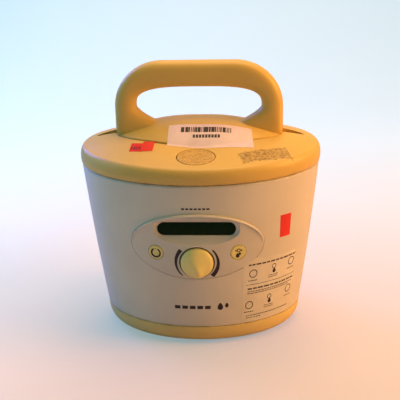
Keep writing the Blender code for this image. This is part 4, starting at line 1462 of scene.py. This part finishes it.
def build_seal():
    """A dark ring laid in the gap round the vacuum knob: painted shade, standing for the shadow in the gap.
    """
    spot = front_frame(0, KNOB_Z)
    count = 128
    inner, outer = KNOB_R + 0.25, KNOB_R + 1.2
    rows = [ellipse(inner, inner, -2.2, count), ellipse(outer, outer, -2.2, count)]
    rows += [ellipse(outer, outer, seal_top, count), ellipse(inner, inner, seal_top, count)]
    gap_shade = skin("knob_gap_shade", [[spot @ Vector(p) for p in row] for row in rows], closed=True)
    # Black rubber finish so that the ring reads as the gap's shadow: painted shade.
    give(gap_shade, foot_rubber())
    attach(gap_shade, "housing")


def build_prints():
    """Ink on the panel and housing: the two tapered arcs and plain generic marks."""
    lift = bpy.context.scene.pump_sizes.ink / MM
    arcs = Sheet(on_panel, INK_LIFT, INK_LIFT + lift)
    for side in (-1, 1):
        path = []
        for k in range(41):
            turn = math.radians(90 + side * mix(-48, -136, k / 40))
            path.append((ARC_R * math.cos(turn), KNOB_Z + ARC_R * math.sin(turn)))
        if side < 0:
            arcs.line(path, lambda t: 0.9 + 2.5 * (1 - t), across=2)
        else:
            arcs.line(path, lambda t: 1.2 + 2.7 * t, across=2)
    arcs_piece = arcs.done("vacuum_arcs")
    marks = Sheet(on_body, INK_LIFT, INK_LIFT + lift)
    for k in range(7):
        x = (k - 3) * 3.3
        marks.line([(x - 1.15, 130.0), (x + 1.15, 130.0)], 1.5)
    for k in range(5):
        x = -19.5 + k * 7.0
        marks.line([(x - 2.6, 37.6), (x + 2.6, 37.6)], 3.2)
    marks.fill(droplet(20.0, 37.2, 2.6), 3)
    marks.fill(droplet(26.0, 38.4, 1.7), 3)
    mark_piece = marks.done("front_marks")
    for made in (arcs_piece, mark_piece):
        give(made, printed_ink())
        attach(made, "housing")


def grid(corners, columns, rows):
    """Rows of (u, v) over a four-cornered shape given anticlockwise from its lower left."""
    low_left, low_right, high_right, high_left = corners
    result = []
    for r in range(rows + 1):
        start = [mix(low_left[i], high_left[i], r / rows) for i in (0, 1)]
        end = [mix(low_right[i], high_right[i], r / rows) for i in (0, 1)]
        shares = [c / columns for c in range(columns + 1)]
        result.append([(mix(start[0], end[0], share), mix(start[1], end[1], share)) for share in shares])
    return result


def sticker(name, corners, surface, body, material, columns, rows, lift=INK_LIFT):
    """A label laid on a surface."""
    thick = bpy.context.scene.pump_sizes.sticker / MM
    sheet = Sheet(surface, lift, lift + thick)
    sheet.add(grid(corners, columns, rows))
    made = sheet.done(name)
    give(made, material)
    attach(made, body)


def build_labels():
    """The paper and film labels, with generic bars, rings and rules for their printing."""
    dice = random.Random(7)
    lay_bar_label(dice)
    lay_red_tags()
    lay_instructions(dice)


def lay_bar_label(dice):
    """The lid's paper label, and the ink on it and on the red tag beside it."""
    thick = bpy.context.scene.pump_sizes.sticker / MM
    ink = bpy.context.scene.pump_sizes.ink / MM
    label = paper("label_paper", tuple(bpy.context.scene.pump_finish.label), 0.42)
    corners = ((-25.2, -36.6), (47.4, -41.2), (45.0, -16.8), (-24.8, -16.6))
    sticker("bar_label", corners, on_top, "lid", label, 60, 22)
    bars = Sheet(on_top, INK_LIFT + thick, INK_LIFT + thick + ink)
    x = -13.6
    while x < 28.0:
        wide = dice.choice((0.7, 0.8, 1.2, 1.6, 2.0))
        bars.line([(x, y) for y in (-25.4, -23.6, -21.8, -20.2)], wide)
        x += wide / 2 + dice.choice((0.8, 1.0, 1.2))
    for k in range(9):
        start = -4.0 + k * 2.6
        bars.line([(start, -28.8), (start + 2.0, -28.8)], 2.6)
    for k in range(4):
        left = -54.6 + 2.2 * k
        bars.line([(left, -43.2), (left + 0.5, -37.6)], 0.7)
        bars.line([(left, -40.2), (left + 1.5, -40.4)], 0.7)
    bars_piece = bars.done("label_bars")
    give(bars_piece, printed_ink())
    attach(bars_piece, "lid")


def lay_red_tags():
    """The two overlapping red tags on the lid, and the one on the housing."""
    red = paper("red_paper", tuple(bpy.context.scene.pump_finish.red), 0.45, (0.5, 0.02, 0.012))
    low_tag = ((-56.2, -44.8), (-45.4, -46.2), (-44.7, -33.2), (-55.2, -31.8))
    high_tag = ((-46.8, -46.0), (-36.5, -45.8), (-35.6, -31.0), (-45.2, -30.6))
    sticker("red_tag_lid_low", low_tag, on_top, "lid", red, 14, 12)
    sticker("red_tag_lid_high", high_tag, on_top, "lid", red, 12, 12, 0.2)
    body_tag = ((73.2, 95.6), (84.2, 95.4), (83.2, 115.9), (71.8, 116.1))
    sticker("red_tag_body", body_tag, on_body, "housing", red, 12, 16)


def lay_instructions(dice):
    """The clear instruction film, with two rows of rings, drops and dashes printed on it."""
    thick = bpy.context.scene.pump_sizes.sticker / MM
    ink = bpy.context.scene.pump_sizes.ink / MM
    film_corners = ((40.4, 19.6), (100.0, 19.4), (97.0, 78.0), (40.2, 82.0))
    film_top = FILM_LIFT + thick * 0.5
    film = Sheet(on_body, FILM_LIFT, film_top)
    film.add(grid(film_corners, 60, 40))
    film_piece = film.done("instruction_film")
    give(film_piece, clear_film())
    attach(film_piece, "housing")
    prints = Sheet(on_body, film_top, film_top + ink)
    upper_row = (75.0, (49.5, 66.5), (70.0, 67.5), (90.5, 69.0))
    lower_row = (52.0, (47.5, 36.0), (68.0, 38.5), (91.0, 42.0))
    for title, first, middle, last in (upper_row, lower_row):
        rule_of_dashes(prints, 45.0, 96.0, title, 1.7, dice)
        for u, v in (first, last):
            prints.ring(u, v, 3.5, 0.75)
            rule_of_dashes(prints, u - 4.5, u + 4.5, v - 6.6, 0.9, dice)
        prints.ring(middle[0], middle[1] + 2.2, 2.0, 0.6)
        prints.fill(droplet(middle[0] + 0.5, middle[1] - 2.6, 1.7), 2)
        for tilt in (-1, 1):
            rule_of_dashes(prints, middle[0] - 5, middle[0] + 5, middle[1] - 6.8 - tilt * 0.9, 0.8, dice)
    prints.line([(x, 56.0) for x in range(43, 98, 2)], 0.4)
    for z, end, size in ((49.2, 94.0, 0.9), (47.4, 90.0, 0.9), (25.5, 93.0, 0.9), (23.4, 60.0, 0.8)):
        rule_of_dashes(prints, 45.0, end, z, size, dice)
    prints_piece = prints.done("instruction_marks")
    give(prints_piece, printed_ink())
    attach(prints_piece, "housing")


def rule_of_dashes(sheet, start, end, v, height, dice):
    """A row of short dashes that stands for a line of small print."""
    u = start
    while u < end:
        long = dice.uniform(1.2, 3.4) * height
        sheet.line([(u, v), (min(u + long, end), v)], height * 0.8)
        u += long + height * 0.55


def build_caps():
    """The two membrane caps over the vacuum chambers."""
    top = DECK_TOP_Z
    inside = ((0.5, 12.0), (9.0, 11.4), (WELL_R - 0.8, 8.6), (WELL_R + 3.5, 4.6), (WELL_R + 3.5, SEAM))
    wall = ((WELL_R + 5.0, SEAM), (WELL_R + 5.0, 5.0), (WELL_R + 4.4, 7.0), (WELL_R + 2.0, 10.0))
    dome = ((WELL_R - 3.0, 11.9), (12.0, 13.0), (6.0, 13.6), (0.5, 13.8))
    profile = [(radius, top + rise) for radius, rise in inside + wall + dome]
    for side, word in ((-1, "left"), (1, "right")):
        centre = Matrix.Translation((side * WELL_X, 0, 0))
        cap = turned(f"vacuum_cap_{word}", profile, 96, centre)
        turn = ALONG_X if side > 0 else Matrix.Rotation(math.radians(-90), 4, "Y")
        spot = Matrix.Translation((side * (WELL_X + 14), 0, top + 7.4)) @ turn
        port = turned("port", [(4.6, 0), (4.6, 18.6), (4.4, 19.4), (4.0, 20.0)], 40, spot)
        bore = turned("bore", [(3.3, -6), (3.3, 30)], 40, spot)
        carve(cap, (port,), "UNION")
        carve(cap, (bore,))
        give(cap, cap_plastic())
        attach(cap, "housing")
        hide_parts(f"membrane_cap_{word}")


def build_card():
    """The program card, with a rounded end and finger ridges."""
    low, high = cad_box("program_card")
    card = rounded_block("card_body", low, high, 0.7)
    ridges = []
    for k in range(3):
        y = high.y - 2.6 - k * 1.6
        start, end = (low.x + 5, y - 0.5, high.z - 0.6), (high.x - 5, y + 0.5, high.z + 0.25)
        ridges.append(rounded_block("card_ridge", start, end, 0.2))
    carve(card, ridges, "UNION")
    give(card, black_plastic())
    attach(card, "card")
    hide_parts("program_card")


CARRIED = (
    ("white_shell", ("top_deck", "lid_catch")),
    ("acetal", ("latch_hook", "drive_gear", "pump_yoke")),
    ("steel", ("hinge_pin_left", "hinge_pin_right", "gear_axle", "guide_rod_left", "guide_rod_right")),
    ("steel", ("motor", "motor_pinion")),
    ("black_plastic", ("display_module", "power_switch", "phase_switch", "knob_encoder")),
    ("black_plastic", ("drive_frame", "mains_inlet", "card_reader")),
    ("silicone", ("diaphragm_left", "diaphragm_right")),
    ("circuit_board", ("control_board", "main_board", "power_supply")),
    ("battery_wrap", ("battery_pack",)),
)


def finish_carried():
    """Gives the CAD nodes that still show their finishes and soft edges."""
    makers = {
        "white_shell": white_panel,
        "acetal": acetal,
        "steel": machined_steel,
        "black_plastic": black_plastic,
        "silicone": cast_silicone,
        "circuit_board": solder_mask,
        "battery_wrap": battery_wrap,
    }
    screws = [f"{kind}_screw_{n}" for kind in ("base", "handle") for n in range(1, 5)]
    for slot, names in (*CARRIED, ("steel", screws)):
        for name in names:
            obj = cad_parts[name]
            for holder in obj.material_slots:
                holder.material = makers[slot]()
    for name in ("lid_catch", "latch_hook", "mains_inlet", "card_reader", "top_deck"):
        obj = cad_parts[name]
        weld = obj.modifiers.new("weld", "WELD")
        weld.merge_threshold = 0.01 * MM
        bevel = obj.modifiers.new("soften", "BEVEL")
        bevel.width = 0.25 * MM
        bevel.segments = 2
        bevel.limit_method = "ANGLE"
        bevel.angle_limit = math.radians(50)


# ---------------------------------------------------------------- studio


@made_once
def sweep_paper(tree, shader):
    """Pale paper that glows as if lit from behind, but far less for everything except the camera. Its colour
    is painted warmer on the right, where the amber light falls, and darker and warmer close round the pump,
    as painted warm shade; its glow is brighter on the left front, as painted light.
    """
    spot = place(tree)
    parts = node(tree, "SeparateXYZ", {"Vector": spot}).outputs
    depth = spread(tree, parts["Y"], -0.25, 0.55)
    across = spread(tree, parts["X"], -0.35, 0.35)
    fibre = use(tree, moulded_grain(), grain=700.0, mottle=3.0)
    reach = node(tree, "VectorMath", {0: spot}, operation="LENGTH").outputs["Value"]
    close = spread(tree, reach, 0.1, 0.34, 1.0, 0.0)
    # Painted light: the paper is warmer on the right, where the amber light falls.
    near = blend_colour(tree, across, (0.66, 0.60, 0.57), (0.60, 0.45, 0.37))
    # Painted shade: darker and warmer close round the pump.
    near = blend_colour(tree, close, near, (0.58, 0.38, 0.26))
    paint = blend_colour(tree, maths(tree, "MULTIPLY", fibre["Tone"], 0.1), near, (0.60, 0.50, 0.45))
    set_colour(tree, shader, paint)
    # Painted light: the glow is brighter on the left front than on the right.
    front = blend_colour(tree, across, (0.36, 0.35, 0.33), (0.10, 0.14, 0.14))
    behind = spread(tree, parts["Y"], -0.5, -1.1)
    far = maths(tree, "MAXIMUM", depth, behind)
    glow = blend_colour(tree, far, front, (0.26, 0.58, 0.72))
    tree.links.new(glow, shader.inputs["Emission Color"])
    seen = node(tree, "LightPath").outputs["Is Camera Ray"]
    strength = maths(tree, "ADD", maths(tree, "MULTIPLY", seen, 0.82), 0.18)
    tree.links.new(strength, shader.inputs["Emission Strength"])
    shader.inputs["Roughness"].default_value = 0.9
    set_bump(tree, shader, fibre["Height"], 0.1, 0.0001)


def build_sweep():
    """A paper sweep: floor in front, rising behind in one curve."""
    radius, start, half = 0.9, 0.7, 4.0
    profile = [(-3.6, 0.0), (-1.0, 0.0), (0.0, 0.0)]
    for k in range(25):
        turn = math.radians(90 * k / 24)
        profile.append((start + radius * math.sin(turn), radius * (1 - math.cos(turn))))
    profile.append((start + radius, 3.0))
    columns = [mix(-half, half, k / 8) for k in range(9)]
    points = [(x, y, z) for y, z in profile for x in columns]
    count, faces = len(columns), []
    for row in range(len(profile) - 1):
        for column in range(count - 1):
            first = row * count + column
            faces.append((first, first + 1, first + count + 1, first + count))
    mesh = bpy.data.meshes.new("paper_sweep")
    mesh.from_pydata(points, [], faces)
    mesh.shade_smooth()
    sweep = piece("paper_sweep", mesh)
    give(sweep, sweep_paper())


def area_light(name, spot, target, size, power, tint):
    lamp = bpy.data.lights.new(name, "AREA")
    lamp.shape = "RECTANGLE"
    lamp.size, lamp.size_y = size
    lamp.energy = power
    lamp.color = tint
    obj = bpy.data.objects.new(name, lamp)
    bpy.context.scene.collection.objects.link(obj)
    obj.location = spot
    obj.rotation_euler = (Vector(target) - Vector(spot)).to_track_quat("-Z", "Y").to_euler()
    return obj


def build_camera():
    """The camera, tilted as the pump is seen."""
    studio = bpy.context.scene.pump_studio
    azimuth, elevation = studio.azimuth, studio.elevation
    level = Vector((math.sin(azimuth), -math.cos(azimuth), 0))
    back = level * math.cos(elevation) + Vector((0, 0, math.sin(elevation)))
    right = (-back).cross(Vector((0, 0, 1))).normalized()
    up = right.cross(-back)
    cos, sin = math.cos(studio.roll), math.sin(studio.roll)
    side, head = right * cos + up * sin, up * cos - right * sin
    data = bpy.data.cameras.new("camera")
    data.lens = studio.lens
    data.sensor_width = 36.0
    data.shift_x, data.shift_y = -0.0035, -0.00075
    camera = bpy.data.objects.new("camera", data)
    bpy.context.scene.collection.objects.link(camera)
    matrix = Matrix((side, head, back)).transposed().to_4x4()
    matrix.translation = Vector((0, 0, studio.target_height)) + back * studio.distance
    camera.matrix_world = matrix
    bpy.context.scene.camera = camera


# Soft lights: name, place, size, watts and tint.
WARM_LIGHTS = (
    ("warm_side", (0.9, -0.15, 0.5), (0.5, 0.5), 9.4, (1.0, 0.44, 0.12)),
    ("overhead", (0.12, 0.1, 1.2), (0.8, 0.8), 9.4, (1.0, 0.60, 0.32)),
    ("behind", (0.0, 1.0, 1.0), (0.8, 0.8), 3.6, (1.0, 0.55, 0.15)),
)
COOL_LIGHTS = (
    ("cool_side", (-0.9, -0.1, 0.4), (0.6, 0.6), 1.5, (0.16, 0.74, 0.90)),
    ("cool_behind", (-0.8, 0.6, 0.6), (0.5, 0.5), 9.0, (0.10, 0.20, 1.0)),
)
LIT_POINT = (0.0, 0.0, 0.10)
AIR_LIGHT, AIR_SEEN = (0.05, 0.126, 0.09), (0.62, 0.80, 0.86)  # what the world sheds, and shows


def build_stage():
    """Floor, backdrop, world light and the five soft lights."""
    scene = bpy.context.scene
    scene.view_settings.view_transform = "Standard"
    studio = scene.pump_studio
    build_sweep()
    for strength, lights in ((studio.warm, WARM_LIGHTS), (studio.cool, COOL_LIGHTS)):
        for name, spot, size, watts, tint in lights:
            area_light(name, spot, LIT_POINT, size, watts * strength, tint)
    world = bpy.data.worlds.new("studio_air")
    world.use_nodes = True
    air = world.node_tree
    seen = node(air, "LightPath").outputs["Is Camera Ray"]
    tint = blend_colour(air, seen, AIR_LIGHT, AIR_SEEN)
    air.links.new(tint, air.nodes["Background"].inputs["Color"])
    scene.world = world


# ---------------------------------------------------------------- add-on


class PUMP_OT_housing(bpy.types.Operator):
    """Build the housing shell with its openings and knuckles"""

    bl_idname = "pump.housing"
    bl_label = "Housing"
    bl_options = {"REGISTER", "UNDO"}

    def execute(self, context):
        build_housing()
        return {"FINISHED"}


class PUMP_OT_base(bpy.types.Operator):
    """Build the base tray and rubber feet"""

    bl_idname = "pump.base"
    bl_label = "Base"
    bl_options = {"REGISTER", "UNDO"}

    def execute(self, context):
        build_base()
        return {"FINISHED"}


class PUMP_OT_lid(bpy.types.Operator):
    """Build the lid ring"""

    bl_idname = "pump.lid"
    bl_label = "Lid"
    bl_options = {"REGISTER", "UNDO"}

    def execute(self, context):
        build_lid()
        return {"FINISHED"}


class PUMP_OT_handle(bpy.types.Operator):
    """Build the carrying handle"""

    bl_idname = "pump.handle"
    bl_label = "Handle"
    bl_options = {"REGISTER", "UNDO"}

    def execute(self, context):
        build_handle()
        return {"FINISHED"}


class PUMP_OT_release(bpy.types.Operator):
    """Build the lid's release button"""

    bl_idname = "pump.release"
    bl_label = "Release"
    bl_options = {"REGISTER", "UNDO"}

    def execute(self, context):
        build_release()
        return {"FINISHED"}


class PUMP_OT_panel(bpy.types.Operator):
    """Build the control panel"""

    bl_idname = "pump.panel"
    bl_label = "Panel"
    bl_options = {"REGISTER", "UNDO"}

    def execute(self, context):
        build_panel()
        return {"FINISHED"}


class PUMP_OT_window(bpy.types.Operator):
    """Build the display window"""

    bl_idname = "pump.window"
    bl_label = "Window"
    bl_options = {"REGISTER", "UNDO"}

    def execute(self, context):
        build_window()
        return {"FINISHED"}


class PUMP_OT_keys(bpy.types.Operator):
    """Build the two keys and their symbols"""

    bl_idname = "pump.keys"
    bl_label = "Keys"
    bl_options = {"REGISTER", "UNDO"}

    def execute(self, context):
        build_keys()
        return {"FINISHED"}


class PUMP_OT_knob(bpy.types.Operator):
    """Build the vacuum knob"""

    bl_idname = "pump.knob"
    bl_label = "Knob"
    bl_options = {"REGISTER", "UNDO"}

    def execute(self, context):
        build_knob()
        return {"FINISHED"}


class PUMP_OT_seal(bpy.types.Operator):
    """Build the dark ring of painted shade round the vacuum knob"""

    bl_idname = "pump.seal"
    bl_label = "Knob ring"
    bl_options = {"REGISTER", "UNDO"}

    def execute(self, context):
        build_seal()
        return {"FINISHED"}


class PUMP_OT_prints(bpy.types.Operator):
    """Lay the printed arcs and marks on"""

    bl_idname = "pump.prints"
    bl_label = "Prints"
    bl_options = {"REGISTER", "UNDO"}

    def execute(self, context):
        build_prints()
        return {"FINISHED"}


class PUMP_OT_labels(bpy.types.Operator):
    """Lay the labels on"""

    bl_idname = "pump.labels"
    bl_label = "Labels"
    bl_options = {"REGISTER", "UNDO"}

    def execute(self, context):
        build_labels()
        return {"FINISHED"}


class PUMP_OT_caps(bpy.types.Operator):
    """Build the membrane caps"""

    bl_idname = "pump.caps"
    bl_label = "Caps"
    bl_options = {"REGISTER", "UNDO"}

    def execute(self, context):
        build_caps()
        return {"FINISHED"}


class PUMP_OT_card(bpy.types.Operator):
    """Build the program card"""

    bl_idname = "pump.card"
    bl_label = "Card"
    bl_options = {"REGISTER", "UNDO"}

    def execute(self, context):
        build_card()
        return {"FINISHED"}


class PUMP_OT_carried(bpy.types.Operator):
    """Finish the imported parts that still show"""

    bl_idname = "pump.carried"
    bl_label = "Carried parts"
    bl_options = {"REGISTER", "UNDO"}

    def execute(self, context):
        finish_carried()
        return {"FINISHED"}


class PUMP_OT_camera(bpy.types.Operator):
    """Place the camera"""

    bl_idname = "pump.camera"
    bl_label = "Camera"
    bl_options = {"REGISTER", "UNDO"}

    def execute(self, context):
        build_camera()
        return {"FINISHED"}


class PUMP_OT_stage(bpy.types.Operator):
    """Build the floor, backdrop and lights"""

    bl_idname = "pump.stage"
    bl_label = "Stage"
    bl_options = {"REGISTER", "UNDO"}

    def execute(self, context):
        build_stage()
        return {"FINISHED"}


# In the order that they run in.
STEPS = (
    PUMP_OT_housing,
    PUMP_OT_base,
    PUMP_OT_lid,
    PUMP_OT_handle,
    PUMP_OT_release,
    PUMP_OT_panel,
    PUMP_OT_window,
    PUMP_OT_keys,
    PUMP_OT_knob,
    PUMP_OT_seal,
    PUMP_OT_prints,
    PUMP_OT_labels,
    PUMP_OT_caps,
    PUMP_OT_card,
    PUMP_OT_carried,
    PUMP_OT_camera,
    PUMP_OT_stage,
)


class PUMP_PT_panel(bpy.types.Panel):
    """Lists the build steps and their settings."""

    bl_label = "Breast pump"
    bl_idname = "PUMP_PT_panel"
    bl_space_type = "VIEW_3D"
    bl_region_type = "UI"
    bl_category = "Pump"

    def draw(self, context):
        for group in ("pump_finish", "pump_sizes", "pump_studio"):
            box = self.layout.box()
            settings = getattr(context.scene, group)
            for name in settings.__annotations__:
                box.prop(settings, name)
        column = self.layout.column(align=True)
        for made in STEPS:
            column.operator(made.bl_idname)


CLASSES = (PumpFinish, PumpSizes, PumpStudio, *STEPS, PUMP_PT_panel)


def register():
    for made in CLASSES:
        bpy.utils.register_class(made)
    bpy.types.Scene.pump_finish = bpy.props.PointerProperty(type=PumpFinish)
    bpy.types.Scene.pump_sizes = bpy.props.PointerProperty(type=PumpSizes)
    bpy.types.Scene.pump_studio = bpy.props.PointerProperty(type=PumpStudio)


def unregister():
    for name in ("pump_finish", "pump_sizes", "pump_studio"):
        delattr(bpy.types.Scene, name)
    for made in reversed(CLASSES):
        bpy.utils.unregister_class(made)


def main():
    register()
    for made in STEPS:
        group, name = made.bl_idname.split(".")
        getattr(getattr(bpy.ops, group), name)()


if __name__ == "__main__":
    main()
